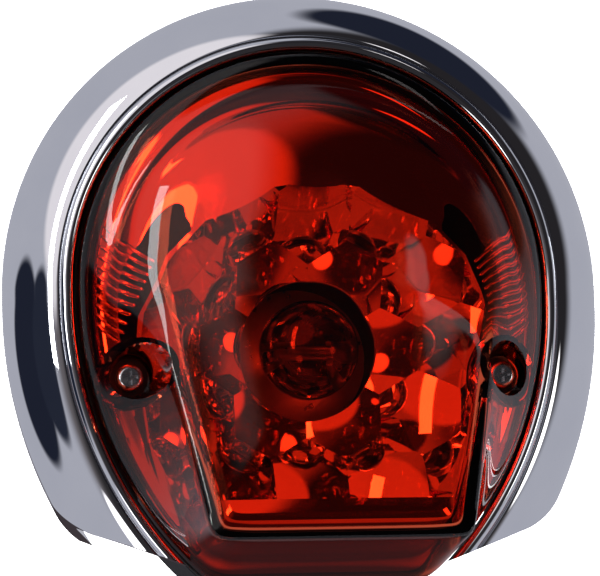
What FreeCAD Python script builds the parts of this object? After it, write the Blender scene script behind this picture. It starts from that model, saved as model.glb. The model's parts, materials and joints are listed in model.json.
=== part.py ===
import FreeCAD, Part
import math
import os

# Motorcycle tail light, in millimetres.
# +Z is up and the lens faces -Y. The mounting face is the plane y = 0, and the origin
# lies midway between the two mounting studs. Every "forward" value is a distance from
# the mounting face towards the lens, so y = -forward.

V = FreeCAD.Vector
os.makedirs("parts", exist_ok=True)

# ---- Rim outline: the arch that the housing, lens, seal and base all follow ----
LIP_RADIUS = 65.0
ARCH_Z = -1.0
HIP_Z = -5.0
HIP_SHIFT = 37.0
SIDE_SWEEP_DEG = 50.0

# ---- Chromed housing ----
FLARE_WIDTH = 15.0
FLARE_FORWARD = 24.0
LIP_FORWARD = 38.0
HOUSING_WALL = 2.4
HOUSING_REAR = 1.0
SKIRT_TUCK = 4.0
LIP_BEAD_WIDTH = 3.6
LIP_BEAD_RISE = 1.0
LIP_CREASE = 1.1
LIP_WALL_DEPTH = 5.0
HOUSING_CORNER_Z = -63.0
HOUSING_TOE_Z = -75.0
BOSS_WALL = 3.0
BOSS_HEAD_ROOM = 0.4
BOSS_DEPTH = 15.0
ARCH_BOSS_DEG = 48.0
SIDE_BOSS_DEG = 21.0

# ---- Base moulding and its gasket ----
GASKET_THICK = 3.0
GASKET_INSET = 4.0
BASE_THICK = 4.0
BASE_CLEARANCE = 0.5
BASE_SHOULDER_Z = -59.0
CHAMBER_WALL = 4.0
CHAMBER_OFFSET = -3.0
CHAMBER_FORWARD = 30.0
SEAL_THICK = 2.0
SEAL_MARGIN = 0.2
DRAIN_RADIUS = 2.0
DRAIN_SPREAD = 20.0
GROMMET_X = 22.0
GROMMET_Z = -52.0

# ---- Mounting studs (M6) ----
STUD_RADIUS = 3.0
STUD_NECK_RADIUS = 3.5
STUD_TIP_CHAMFER = 0.6
STUD_PITCH = 60.0
STUD_LENGTH = 20.0
STUD_HEAD_RADIUS = 7.0
STUD_HEAD_THICK = 2.0

# ---- Housing screws, self-tapping, driven from behind ----
TAPPER_RADIUS = 1.6
TAPPER_LENGTH = 12.0
TAPPER_HEAD_RADIUS = 3.4
TAPPER_HEAD_THICK = 2.0

# ---- Lens ----
LENS_OFFSET = -3.5
LENS_WALL = 2.5
LENS_BOTTOM_Z = -79.0
LENS_COLLAR = 40.0
FACE_TOP_Z = 46.0
FACE_HIP_Z = 2.0
FACE_BOTTOM_Z = -70.0
FACE_TOP_HALF = 46.0
FACE_BOTTOM_HALF = 33.0
FACE_TOP_FORWARD = 47.0
FACE_BOTTOM_FORWARD = 75.0

# ---- Lens screws (M4 pan head), their inserts and pillars ----
SCREW_X = 49.0
SCREW_Z = -26.0
SCREW_RADIUS = 1.95
SCREW_HEAD_RADIUS = 3.5
SCREW_HEAD_HEIGHT = 2.6
SCREW_LENGTH = 16.0
SCREW_HOLE_RADIUS = 2.3
SCREW_SEAL_THICK = 1.0
THREAD_CLEARANCE = 0.10
INSERT_RADIUS = 3.0
INSERT_LENGTH = 10.0
PILLAR_RADIUS = 4.6
PILLAR_GAP = 0.3
RECESS_REAR = 37.0
RECESS_RADIUS = 5.4
RECESS_FLARE = 0.22
RECESS_DEPTH = 24.0
DRIVE_WIDTH = 1.0
DRIVE_REACH = 2.0
DRIVE_DEPTH = 1.4

# ---- Reflector ----
REFLECTOR_INSET = 4.0
REFLECTOR_WALL = 2.0
REFLECTOR_GAP = 2.0
BOWL_RIM_RADIUS = 54.0
BOWL_Z = -28.0
BOWL_BOTTOM = 22.0
BOWL_RIM = 52.0
BOWL_FLOOR_Z = -60.0
NECK_RADIUS = 18.3
NECK_WALL = 1.2
NECK_REAR = 14.0
NECK_FRONT = 24.0
PILLAR_CLEARANCE = 0.8

# ---- Bulb, 21/5 W bayonet ----
BULB_Z = -18.0
GLASS_RADIUS = 13.2
GLASS_WALL = 0.8
LIGHT_CENTRE = 29.0
PIN_FROM_LIGHT = 31.8
GLASS_NECK_RADIUS = 7.0
GLASS_CONE_LENGTH = 8.0
GLASS_OVERLAP = 1.0
CAP_RADIUS = 7.55
CAP_WALL = 0.5
CAP_ABOVE_PIN = 12.0
CAP_BELOW_PIN = 7.5
CAP_SEAT = 2.0
PIN_RADIUS = 1.0
PIN_REACH = 8.9
PIN_STAGGER = 3.0
STEM_RADIUS = 3.2
STEM_TOP = 20.0
FILAMENT_RADIUS = 0.5
FILAMENT_HALF = 2.6
FILAMENT_GAP = 3.0
WIRE_RADIUS = 0.3
BULB_CONTACT_RADIUS = 1.6
BULB_CONTACT_SPREAD = 3.2
BULB_CONTACT_HEIGHT = 1.2
INSULATOR_THICK = 2.0

# ---- Socket ----
BARREL_CLEARANCE = 0.20
BARREL_WALL = 0.8
BARREL_REAR = -24.0
BARREL_FLANGE_RADIUS = 19.0
BARREL_FLANGE_THICK = 1.2
SOCKET_HOLE_CLEARANCE = 0.4
RIVET_RADIUS = 1.6
RIVET_HEAD_RADIUS = 3.0
RIVET_HEAD_THICK = 1.0
RIVET_PITCH_RADIUS = 15.0
RIVET_MARGIN = 1.0
SLOT_CLEARANCE = 0.3
SLOT_STEPS = 10
BAYONET_TURN_DEG = 20.0
BAYONET_PUSH = 1.6
CONTACT_PLATE_THICK = 2.0
CONTACT_PLATE_CLEARANCE = 0.25
TIP_RADIUS = 1.5
TIP_HEIGHT = 1.0
SPRING_WIRE = 0.6
SPRING_RADIUS = 5.6
SPRING_TURNS = 4
SPRING_SEAT = 1.6
BOOT_WALL = 1.6
BOOT_FRONT = 2.0
BOOT_NECK_GAP = 1.0
BOOT_TAIL = 6.0
BOOT_TAIL_RADIUS = 4.5
TERMINAL_WIDTH = 2.4
TERMINAL_THICK = 0.6
TERMINAL_LENGTH = 5.0

# ---- Cable grommet ----
GROMMET_BORE = 3.0
GROMMET_WALL = 2.0
GROMMET_LIP = 2.0
GROMMET_LIP_THICK = 1.5

# ---- Values worked out from the driving dimensions ----
BASE_REAR = GASKET_THICK
BASE_FRONT = GASKET_THICK + BASE_THICK
LENS_REAR = CHAMBER_FORWARD + SEAL_THICK
BARREL_BORE = CAP_RADIUS + BARREL_CLEARANCE
BARREL_RADIUS = BARREL_BORE + BARREL_WALL
PIN_FORWARD = LIGHT_CENTRE - PIN_FROM_LIGHT
CAP_REAR = PIN_FORWARD - CAP_BELOW_PIN
CONTACT_FACE = CAP_REAR - BULB_CONTACT_HEIGHT
RECESS_SEAT = RECESS_REAR + LENS_WALL
HEAD_SEAT = RECESS_SEAT + SCREW_SEAL_THICK
STUDS = [(sign * STUD_PITCH / 2, 0.0) for sign in (-1, 1)]
BOSS_RADIUS = TAPPER_RADIUS + BOSS_WALL
SCREWS = [(sign * SCREW_X, SCREW_Z) for sign in (-1, 1)]
RIVETS = [(sign * RIVET_PITCH_RADIUS, BULB_Z) for sign in (-1, 1)]
EVERYTHING = 400.0
OVERCUT = 1.0
TINY = 0.01


# ---- Helpers ----
def at(x, forward, z):
    """A point given by its forward distance instead of y."""
    return V(x, -forward, z)


def rod(radius, x, z, start, end):
    """A round bar along Y between two forward distances."""
    return Part.makeCylinder(radius, end - start, at(x, start, z), V(0, -1, 0))


def tube(outer, inner, x, z, start, end):
    return rod(outer, x, z, start, end).cut(rod(inner, x, z, start, end))


def rods(radius, places, start, end):
    """One round bar at each (x, z) place, as one compound for cutting."""
    return Part.makeCompound([rod(radius, x, z, start, end) for x, z in places])


def line(start, end):
    return Part.makeLine(start, end)


def arc(start, middle, end):
    return Part.Arc(start, middle, end).toShape()


def closed_wire(edges):
    return Part.Wire(Part.__sortEdges__(edges))


def save(name, shape):
    shape.exportStep("parts/" + name + ".step")


def side_half_width(offset, z):
    """Half width of the rim outline at a height below the hips."""
    radius = LIP_RADIUS + HIP_SHIFT + offset
    return math.sqrt(radius**2 - (z - HIP_Z) ** 2) - HIP_SHIFT


def rim_outline(offset, bottom_z, forward):
    """The arch outline, moved outwards by offset and closed by a straight bottom."""
    radius = LIP_RADIUS + offset
    middle_z = (HIP_Z + bottom_z) / 2
    edges = [
        arc(
            at(radius, forward, ARCH_Z),
            at(0, forward, ARCH_Z + radius),
            at(-radius, forward, ARCH_Z),
        )
    ]
    for sign in (-1, 1):
        hip = at(sign * radius, forward, HIP_Z)
        middle = at(sign * side_half_width(offset, middle_z), forward, middle_z)
        toe = at(sign * side_half_width(offset, bottom_z), forward, bottom_z)
        edges.append(line(at(sign * radius, forward, ARCH_Z), hip))
        edges.append(arc(hip, middle, toe))
    toe_half = side_half_width(offset, bottom_z)
    edges.append(line(at(-toe_half, forward, bottom_z), at(toe_half, forward, bottom_z)))
    return closed_wire(edges)


def rim_plate(offset, bottom_z, start, end):
    """A flat plate with the rim outline, between two forward distances."""
    face = Part.Face(rim_outline(offset, bottom_z, start))
    return face.extrude(V(0, start - end, 0))


def sweep_round_rim(section):
    """Carry a section, drawn at the right-hand end of the arch, round the whole rim."""
    arch = section.revolve(V(0, 0, ARCH_Z), V(0, -1, 0), 180)
    straight = section.extrude(V(0, 0, HIP_Z - ARCH_Z))
    hip = section.translated(V(0, 0, HIP_Z - ARCH_Z))
    side = hip.revolve(V(-HIP_SHIFT, 0, HIP_Z), V(0, 1, 0), SIDE_SWEEP_DEG)
    right = straight.fuse(side)
    left = right.mirror(V(0, 0, 0), V(1, 0, 0))
    return arch.fuse([right, left]).removeSplitter()


def face_forward(z):
    """Forward distance of the lens's sloping front face at a height."""
    share = (FACE_TOP_Z - z) / (FACE_TOP_Z - FACE_BOTTOM_Z)
    return FACE_TOP_FORWARD + share * (FACE_BOTTOM_FORWARD - FACE_TOP_FORWARD)


def face_outline(inset):
    """Edge of the sloping front face, drawn in its own plane and moved inwards."""
    hip_half = FACE_TOP_HALF - inset
    toe_half = FACE_BOTTOM_HALF - inset
    top_z = FACE_TOP_Z - inset
    toe_z = FACE_BOTTOM_Z + inset
    hip_z = FACE_HIP_Z
    knee_z = hip_z - (ARCH_Z - HIP_Z)
    knee_half = hip_half

    def spot(x, z):
        return at(x, face_forward(z) - inset, z)

    edges = [arc(spot(hip_half, hip_z), spot(0, top_z), spot(-hip_half, hip_z))]
    for sign in (-1, 1):
        edges.append(line(spot(sign * hip_half, hip_z), spot(sign * knee_half, knee_z)))
        edges.append(line(spot(sign * knee_half, knee_z), spot(sign * toe_half, toe_z)))
    edges.append(line(spot(-toe_half, toe_z), spot(toe_half, toe_z)))
    return closed_wire(edges)


def lens_dome(inset, rear):
    """The solid that fills the lens's outer shape, moved inwards by inset."""
    collar_end = LENS_COLLAR - inset
    offset = LENS_OFFSET - inset
    bottom_z = LENS_BOTTOM_Z + inset
    collar = rim_plate(offset, bottom_z, rear, collar_end)
    rim = rim_outline(offset, bottom_z, collar_end)
    dome = Part.makeLoft([rim, face_outline(inset)], True, True)
    return collar.fuse(dome)


# ---- Housing group ----
def boss_places():
    """Screw places: two on the arch and one low on each side."""
    skirt_inner = FLARE_WIDTH - SKIRT_TUCK - HOUSING_WALL
    offset = skirt_inner - TAPPER_HEAD_RADIUS - BOSS_HEAD_ROOM
    arch_radius = LIP_RADIUS + offset
    side_radius = arch_radius + HIP_SHIFT
    up = math.radians(ARCH_BOSS_DEG)
    down = math.radians(SIDE_BOSS_DEG)
    places = []
    for sign in (-1, 1):
        places.append((sign * arch_radius * math.cos(up), ARCH_Z + arch_radius * math.sin(up)))
        side_x = side_radius * math.cos(down) - HIP_SHIFT
        places.append((sign * side_x, HIP_Z - side_radius * math.sin(down)))
    return places


def housing_section():
    """Section of the skirt: straight side, round flare, bead and inner lip wall."""

    def spot(offset, forward):
        return V(LIP_RADIUS + offset, -forward, ARCH_Z)

    def quarter(offset_end, forward_end, offset_start):
        """Edge of a quarter ellipse from the widest point round to the lip."""
        reach = offset_start - offset_end
        rise = forward_end - FLARE_FORWARD
        half = math.sqrt(0.5)
        middle = spot(offset_end + reach * half, FLARE_FORWARD + rise * half)
        return arc(spot(offset_start, FLARE_FORWARD), middle, spot(offset_end, forward_end))

    crease = LIP_CREASE
    inner = crease - LIP_BEAD_WIDTH
    shoulder = LIP_FORWARD - LIP_BEAD_RISE
    inner_flare = FLARE_WIDTH - HOUSING_WALL
    inner_crease = inner + HOUSING_WALL
    wall_end = LIP_FORWARD - LIP_WALL_DEPTH
    edges = [
        line(spot(FLARE_WIDTH - SKIRT_TUCK, HOUSING_REAR), spot(FLARE_WIDTH, FLARE_FORWARD)),
        quarter(crease, shoulder, FLARE_WIDTH),
        arc(
            spot(crease, shoulder),
            spot((crease + inner) / 2, LIP_FORWARD),
            spot(inner, shoulder),
        ),
        line(spot(inner, shoulder), spot(inner, wall_end)),
        line(spot(inner, wall_end), spot(inner_crease, wall_end + LIP_BEAD_RISE)),
        quarter(inner_crease, wall_end + LIP_BEAD_RISE, inner_flare),
        line(
            spot(inner_flare, FLARE_FORWARD),
            spot(inner_flare - SKIRT_TUCK, HOUSING_REAR),
        ),
        line(
            spot(inner_flare - SKIRT_TUCK, HOUSING_REAR),
            spot(FLARE_WIDTH - SKIRT_TUCK, HOUSING_REAR),
        ),
    ]
    return Part.Face(closed_wire(edges))


def toe_cut():
    """Everything below the two slanting lower ends of the housing."""
    corner_x = side_half_width(FLARE_WIDTH, HOUSING_CORNER_Z)
    toe_x = side_half_width(LENS_OFFSET, HOUSING_TOE_Z)
    slope = (HOUSING_CORNER_Z - HOUSING_TOE_Z) / (corner_x - toe_x)
    low = -EVERYTHING
    far_z = HOUSING_CORNER_Z + slope * (EVERYTHING - corner_x)
    points = [
        at(0, -EVERYTHING, HOUSING_TOE_Z),
        at(toe_x, -EVERYTHING, HOUSING_TOE_Z),
        at(EVERYTHING, -EVERYTHING, far_z),
        at(EVERYTHING, -EVERYTHING, low),
        at(0, -EVERYTHING, low),
        at(0, -EVERYTHING, HOUSING_TOE_Z),
    ]
    half = Part.Face(Part.makePolygon(points)).extrude(V(0, -2 * EVERYTHING, 0))
    return half.fuse(half.mirror(V(0, 0, 0), V(1, 0, 0)))


def chrome_housing():
    skirt = sweep_round_rim(housing_section())
    bosses = [rod(BOSS_RADIUS, x, z, BASE_FRONT, BASE_FRONT + BOSS_DEPTH) for x, z in boss_places()]
    body = skirt.fuse(bosses).cut(toe_cut())
    pilot_end = BASE_REAR + TAPPER_LENGTH + OVERCUT
    return body.cut(rods(TAPPER_RADIUS, boss_places(), 0, pilot_end))


def base_plate():
    skirt_inner = FLARE_WIDTH - SKIRT_TUCK - HOUSING_WALL
    wide = rim_plate(skirt_inner - BASE_CLEARANCE, BASE_SHOULDER_Z, BASE_REAR, BASE_FRONT)
    wall_bottom = LENS_BOTTOM_Z + LENS_OFFSET - CHAMBER_OFFSET
    back = rim_plate(CHAMBER_OFFSET, wall_bottom, BASE_REAR, CHAMBER_FORWARD)
    hollow = rim_plate(
        CHAMBER_OFFSET - CHAMBER_WALL,
        wall_bottom + CHAMBER_WALL,
        BASE_FRONT,
        CHAMBER_FORWARD,
    )
    pillar_end = RECESS_REAR - PILLAR_GAP
    pillars = [rod(PILLAR_RADIUS, x, z, BASE_REAR, pillar_end) for x, z in SCREWS]
    body = wide.fuse(back).cut(hollow).fuse(pillars)
    insert_start = pillar_end - INSERT_LENGTH
    holes = [
        rods(TAPPER_RADIUS, boss_places(), 0, BASE_FRONT),
        rods(TAPPER_HEAD_RADIUS, boss_places(), 0, BASE_REAR + TAPPER_HEAD_THICK),
        rods(STUD_NECK_RADIUS, STUDS, 0, BASE_FRONT),
        rods(STUD_HEAD_RADIUS, STUDS, BASE_FRONT - STUD_HEAD_THICK, BASE_FRONT),
        rods(INSERT_RADIUS, SCREWS, insert_start, pillar_end),
        rods(SCREW_HOLE_RADIUS, SCREWS, HEAD_SEAT - SCREW_LENGTH - OVERCUT, insert_start),
        rod(BARREL_RADIUS + SOCKET_HOLE_CLEARANCE, 0, BULB_Z, 0, BASE_FRONT),
        rods(RIVET_RADIUS, RIVETS, 0, BASE_FRONT),
        rod(GROMMET_BORE + GROMMET_WALL, GROMMET_X, GROMMET_Z, 0, BASE_FRONT),
        drain_holes(wall_bottom),
    ]
    for hole in holes:
        body = body.cut(hole)
    return body


def drain_holes(wall_bottom):
    """Two holes down through the chamber's lower wall."""
    drains = []
    for sign in (-1, 1):
        middle = (BASE_FRONT + CHAMBER_FORWARD) / 2
        start = at(sign * DRAIN_SPREAD / 2, middle, wall_bottom - OVERCUT)
        length = CHAMBER_WALL + 2 * OVERCUT
        drains.append(Part.makeCylinder(DRAIN_RADIUS, length, start, V(0, 0, 1)))
    return Part.makeCompound(drains)


def base_gasket():
    skirt_inner = FLARE_WIDTH - SKIRT_TUCK - HOUSING_WALL
    pad = rim_plate(skirt_inner - BASE_CLEARANCE - GASKET_INSET, BASE_SHOULDER_Z, 0, GASKET_THICK)
    socket_room = RIVET_PITCH_RADIUS + RIVET_HEAD_RADIUS + RIVET_MARGIN
    pad = pad.cut(rod(socket_room, 0, BULB_Z, 0, GASKET_THICK))
    pad = pad.cut(rods(STUD_NECK_RADIUS, STUDS, 0, GASKET_THICK))
    pad = pad.cut(rods(TAPPER_HEAD_RADIUS + SEAL_MARGIN, boss_places(), 0, GASKET_THICK))
    grommet_room = GROMMET_BORE + GROMMET_WALL + GROMMET_LIP + SEAL_MARGIN
    return pad.cut(rod(grommet_room, GROMMET_X, GROMMET_Z, 0, GASKET_THICK))


def mounting_studs():
    studs = []
    for x, z in STUDS:
        shank = rod(STUD_RADIUS, x, z, -STUD_LENGTH, 0)
        tip = [edge for edge in shank.Edges if edge.CenterOfMass.y > STUD_LENGTH - TINY]
        shank = shank.makeChamfer(STUD_TIP_CHAMFER, tip)
        neck = rod(STUD_NECK_RADIUS, x, z, 0, BASE_FRONT)
        head = rod(STUD_HEAD_RADIUS, x, z, BASE_FRONT - STUD_HEAD_THICK, BASE_FRONT)
        studs.append(shank.fuse([neck, head]))
    return Part.makeCompound(studs)


def housing_screws():
    screws = []
    for x, z in boss_places():
        tip = BASE_REAR + TAPPER_LENGTH
        shank = rod(TAPPER_RADIUS, x, z, BASE_REAR, tip)
        head = rod(TAPPER_HEAD_RADIUS, x, z, BASE_REAR, BASE_REAR + TAPPER_HEAD_THICK)
        screws.append(shank.fuse(head))
    return Part.makeCompound(screws)


def wire_grommet():
    body_radius = GROMMET_BORE + GROMMET_WALL
    body = rod(body_radius, GROMMET_X, GROMMET_Z, BASE_REAR, BASE_FRONT)
    lip_radius = body_radius + GROMMET_LIP
    rear = rod(lip_radius, GROMMET_X, GROMMET_Z, BASE_REAR - GROMMET_LIP_THICK, BASE_REAR)
    front = rod(lip_radius, GROMMET_X, GROMMET_Z, BASE_FRONT, BASE_FRONT + GROMMET_LIP_THICK)
    bore = rod(GROMMET_BORE, GROMMET_X, GROMMET_Z, 0, BASE_FRONT + GROMMET_LIP_THICK)
    return body.fuse([rear, front]).cut(bore)


# ---- Lens group ----
def recess_cone(grow):
    """The two flared pockets round the lens screws, grown by a wall."""
    cones = []
    far_radius = RECESS_RADIUS + RECESS_FLARE * RECESS_DEPTH
    start = RECESS_SEAT - grow
    for x, z in SCREWS:
        base = at(x, start, z)
        cones.append(
            Part.makeCone(
                RECESS_RADIUS + grow, far_radius + grow, RECESS_DEPTH, base, V(0, -1, 0)
            )
        )
    return cones


def lens():
    outer = lens_dome(0, LENS_REAR)
    inner = lens_dome(LENS_WALL, LENS_REAR - OVERCUT)
    shell = outer.cut(inner)
    pockets = [cone.common(outer) for cone in recess_cone(LENS_WALL)]
    body = shell.fuse(pockets)
    for cone in recess_cone(0):
        body = body.cut(cone)
    return body.cut(rods(SCREW_HOLE_RADIUS, SCREWS, RECESS_REAR, RECESS_SEAT))


def lens_seal():
    outer_offset = CHAMBER_OFFSET - SEAL_MARGIN
    inner_offset = CHAMBER_OFFSET - CHAMBER_WALL + SEAL_MARGIN
    outer_bottom = LENS_BOTTOM_Z + LENS_OFFSET - outer_offset
    inner_bottom = LENS_BOTTOM_Z + LENS_OFFSET - inner_offset
    ring = rim_plate(outer_offset, outer_bottom, CHAMBER_FORWARD, LENS_REAR)
    return ring.cut(rim_plate(inner_offset, inner_bottom, CHAMBER_FORWARD, LENS_REAR))


def cross_drive(x, z, face):
    """The cross-shaped driver socket in a screw's head."""
    bars = []
    for along, across in ((DRIVE_REACH, DRIVE_WIDTH / 2), (DRIVE_WIDTH / 2, DRIVE_REACH)):
        corner = V(x - along, -face, z - across)
        bars.append(Part.makeBox(2 * along, DRIVE_DEPTH, 2 * across, corner))
    return bars[0].fuse(bars[1])


def lens_screws():
    screws = []
    for x, z in SCREWS:
        face = HEAD_SEAT + SCREW_HEAD_HEIGHT
        shank = rod(SCREW_RADIUS, x, z, HEAD_SEAT - SCREW_LENGTH, HEAD_SEAT)
        head = rod(SCREW_HEAD_RADIUS, x, z, HEAD_SEAT, face)
        crown = [edge for edge in head.Edges if abs(edge.CenterOfMass.y + face) < TINY]
        head = head.makeFillet(SCREW_HEAD_HEIGHT / 2, crown)
        screws.append(shank.fuse(head).cut(cross_drive(x, z, face)))
    return Part.makeCompound(screws)


def screw_seals():
    rings = [
        tube(SCREW_HEAD_RADIUS, SCREW_RADIUS + SEAL_MARGIN, x, z, RECESS_SEAT, HEAD_SEAT)
        for x, z in SCREWS
    ]
    return Part.makeCompound(rings)


def screw_inserts():
    end = RECESS_REAR - PILLAR_GAP
    bore = SCREW_RADIUS + THREAD_CLEARANCE
    inserts = [tube(INSERT_RADIUS, bore, x, z, end - INSERT_LENGTH, end) for x, z in SCREWS]
    return Part.makeCompound(inserts)


# ---- Reflector ----
def bowl_sphere(grow):
    depth = BOWL_RIM - BOWL_BOTTOM
    radius = (BOWL_RIM_RADIUS**2 + depth**2) / (2 * depth)
    ball = Part.makeSphere(radius + grow, at(0, BOWL_BOTTOM + radius, BOWL_Z))
    corner = at(-EVERYTHING / 2, EVERYTHING / 2, BOWL_FLOOR_Z - grow)
    return ball.common(Part.makeBox(EVERYTHING, EVERYTHING, EVERYTHING, corner))


def reflector():
    rear = BASE_FRONT + REFLECTOR_GAP
    front = lens_dome(REFLECTOR_INSET, rear).cut(bowl_sphere(0))
    behind = lens_dome(REFLECTOR_INSET + REFLECTOR_WALL, rear - OVERCUT)
    body = front.cut(behind.cut(bowl_sphere(REFLECTOR_WALL)))
    neck = tube(NECK_RADIUS + NECK_WALL, NECK_RADIUS, 0, BULB_Z, NECK_REAR, NECK_FRONT)
    body = body.cut(rod(NECK_RADIUS, 0, BULB_Z, 0, LIGHT_CENTRE)).fuse(neck)
    body = body.cut(rods(PILLAR_RADIUS + PILLAR_CLEARANCE, SCREWS, 0, LENS_COLLAR))
    return body.cut(Part.makeCompound(recess_cone(LENS_WALL + PILLAR_CLEARANCE)))


# ---- Bulb ----
def turned(points):
    """A solid of revolution about the bulb's axis from (radius, forward) points."""
    spots = [V(radius, -forward, BULB_Z) for radius, forward in points]
    face = Part.Face(Part.makePolygon(spots + [spots[0]]))
    return face.revolve(V(0, 0, BULB_Z), V(0, 1, 0), 360)


def glass_envelope(inset):
    neck_rear = PIN_FORWARD + CAP_ABOVE_PIN - CAP_SEAT
    ball = Part.makeSphere(GLASS_RADIUS - inset, at(0, LIGHT_CENTRE, BULB_Z))
    reach = math.sqrt(GLASS_RADIUS**2 - GLASS_NECK_RADIUS**2)
    neck = rod(GLASS_NECK_RADIUS - inset, 0, BULB_Z, neck_rear, LIGHT_CENTRE - reach + GLASS_OVERLAP)
    cone_front = LIGHT_CENTRE - GLASS_RADIUS * math.sqrt(0.5)
    cone = Part.makeCone(
        GLASS_NECK_RADIUS - inset,
        GLASS_RADIUS * math.sqrt(0.5) - inset,
        GLASS_CONE_LENGTH,
        at(0, cone_front - GLASS_CONE_LENGTH, BULB_Z),
        V(0, -1, 0),
    )
    return ball.fuse([neck, cone])


def bulb_glass():
    return glass_envelope(0).cut(glass_envelope(GLASS_WALL))


def bulb_cap():
    rear = CAP_REAR
    front = PIN_FORWARD + CAP_ABOVE_PIN
    shell = tube(CAP_RADIUS, CAP_RADIUS - CAP_WALL, 0, BULB_Z, rear, front)
    pins = []
    for sign, forward in ((-1, PIN_FORWARD), (1, PIN_FORWARD - PIN_STAGGER)):
        start = at(sign * (CAP_RADIUS - CAP_WALL), forward, BULB_Z)
        length = PIN_REACH - CAP_RADIUS + CAP_WALL
        pins.append(Part.makeCylinder(PIN_RADIUS, length, start, V(sign, 0, 0)))
    return shell.fuse(pins)


def bulb_insulator():
    radius = CAP_RADIUS - CAP_WALL
    return rod(radius, 0, BULB_Z, CAP_REAR, CAP_REAR + INSULATOR_THICK)


def bulb_contacts():
    pads = [
        rod(BULB_CONTACT_RADIUS, sign * BULB_CONTACT_SPREAD, BULB_Z, CONTACT_FACE, CAP_REAR)
        for sign in (-1, 1)
    ]
    return Part.makeCompound(pads)


def bulb_stem():
    start = PIN_FORWARD + CAP_ABOVE_PIN - CAP_SEAT
    return rod(STEM_RADIUS, 0, BULB_Z, start, STEM_TOP)


def filament_places():
    """Forward distance of the brake filament and of the tail filament."""
    return (LIGHT_CENTRE, LIGHT_CENTRE - FILAMENT_GAP)


def bulb_filaments():
    coils = []
    for forward in filament_places():
        start = at(-FILAMENT_HALF, forward, BULB_Z)
        coils.append(Part.makeCylinder(FILAMENT_RADIUS, 2 * FILAMENT_HALF, start, V(1, 0, 0)))
    return Part.makeCompound(coils)


def filament_supports():
    wires = []
    for forward in filament_places():
        shift = (WIRE_RADIUS + FILAMENT_RADIUS) * (1 if forward == LIGHT_CENTRE else -1)
        for sign in (-1, 1):
            x = sign * (FILAMENT_HALF - WIRE_RADIUS)
            wires.append(rod(WIRE_RADIUS, x, BULB_Z + shift, STEM_TOP, forward + FILAMENT_RADIUS))
    return Part.makeCompound(wires)


# ---- Socket ----
def bayonet_slot(side, forward):
    """The straight entry and the sloping run that one bulb pin follows."""
    half = PIN_RADIUS + SLOT_CLEARANCE
    reach = PIN_REACH + SLOT_CLEARANCE
    cuts = []
    for step in range(SLOT_STEPS + 1):
        share = step / SLOT_STEPS
        place = at(0, forward - share * BAYONET_PUSH, BULB_Z)
        hole = Part.makeCylinder(half, reach, place, V(side, 0, 0))
        hole.rotate(place, V(0, -1, 0), share * BAYONET_TURN_DEG)
        cuts.append(hole)
    entry_rear = forward - BAYONET_PUSH
    entry_front = BASE_FRONT + BARREL_FLANGE_THICK
    corner = V(0, -entry_front, BULB_Z - half)
    entry = Part.makeBox(reach, entry_front - entry_rear, 2 * half, corner)
    if side < 0:
        entry.rotate(V(0, 0, BULB_Z), V(0, 1, 0), 180)
    entry.rotate(V(0, 0, BULB_Z), V(0, -1, 0), BAYONET_TURN_DEG)
    return cuts[0].fuse(cuts[1:] + [entry])


def socket_barrel():
    shell = tube(BARREL_RADIUS, BARREL_BORE, 0, BULB_Z, BARREL_REAR, BASE_FRONT)
    flange_end = BASE_FRONT + BARREL_FLANGE_THICK
    flange = tube(BARREL_FLANGE_RADIUS, BARREL_BORE, 0, BULB_Z, BASE_FRONT, flange_end)
    back_end = BARREL_REAR + BARREL_WALL
    back = tube(BARREL_RADIUS, SPRING_RADIUS - SPRING_SEAT, 0, BULB_Z, BARREL_REAR, back_end)
    body = shell.fuse([flange, back])
    body = body.cut(rods(RIVET_RADIUS, RIVETS, BASE_FRONT, flange_end))
    for side, forward in ((-1, PIN_FORWARD), (1, PIN_FORWARD - PIN_STAGGER)):
        body = body.cut(bayonet_slot(side, forward))
    return body


def socket_rivets():
    flange_end = BASE_FRONT + BARREL_FLANGE_THICK
    rivets = []
    for x, z in RIVETS:
        shank = rod(RIVET_RADIUS, x, z, BASE_REAR, flange_end)
        front = rod(RIVET_HEAD_RADIUS, x, z, flange_end, flange_end + RIVET_HEAD_THICK)
        rear = rod(RIVET_HEAD_RADIUS, x, z, BASE_REAR - RIVET_HEAD_THICK, BASE_REAR)
        rivets.append(shank.fuse([front, rear]))
    return Part.makeCompound(rivets)


def contact_plate():
    face = CONTACT_FACE - TIP_HEIGHT
    radius = BARREL_BORE - CONTACT_PLATE_CLEARANCE
    disc = rod(radius, 0, BULB_Z, face - CONTACT_PLATE_THICK, face)
    places = [(sign * BULB_CONTACT_SPREAD, BULB_Z) for sign in (-1, 1)]
    return disc.cut(rods(TIP_RADIUS / 2, places, face - CONTACT_PLATE_THICK, face))


def contact_tips():
    face = CONTACT_FACE - TIP_HEIGHT
    tips = []
    for sign in (-1, 1):
        x = sign * BULB_CONTACT_SPREAD
        head = rod(TIP_RADIUS, x, BULB_Z, face, CONTACT_FACE)
        pin = rod(TIP_RADIUS / 2, x, BULB_Z, face - CONTACT_PLATE_THICK, face)
        tips.append(head.fuse(pin))
    return Part.makeCompound(tips)


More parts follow.
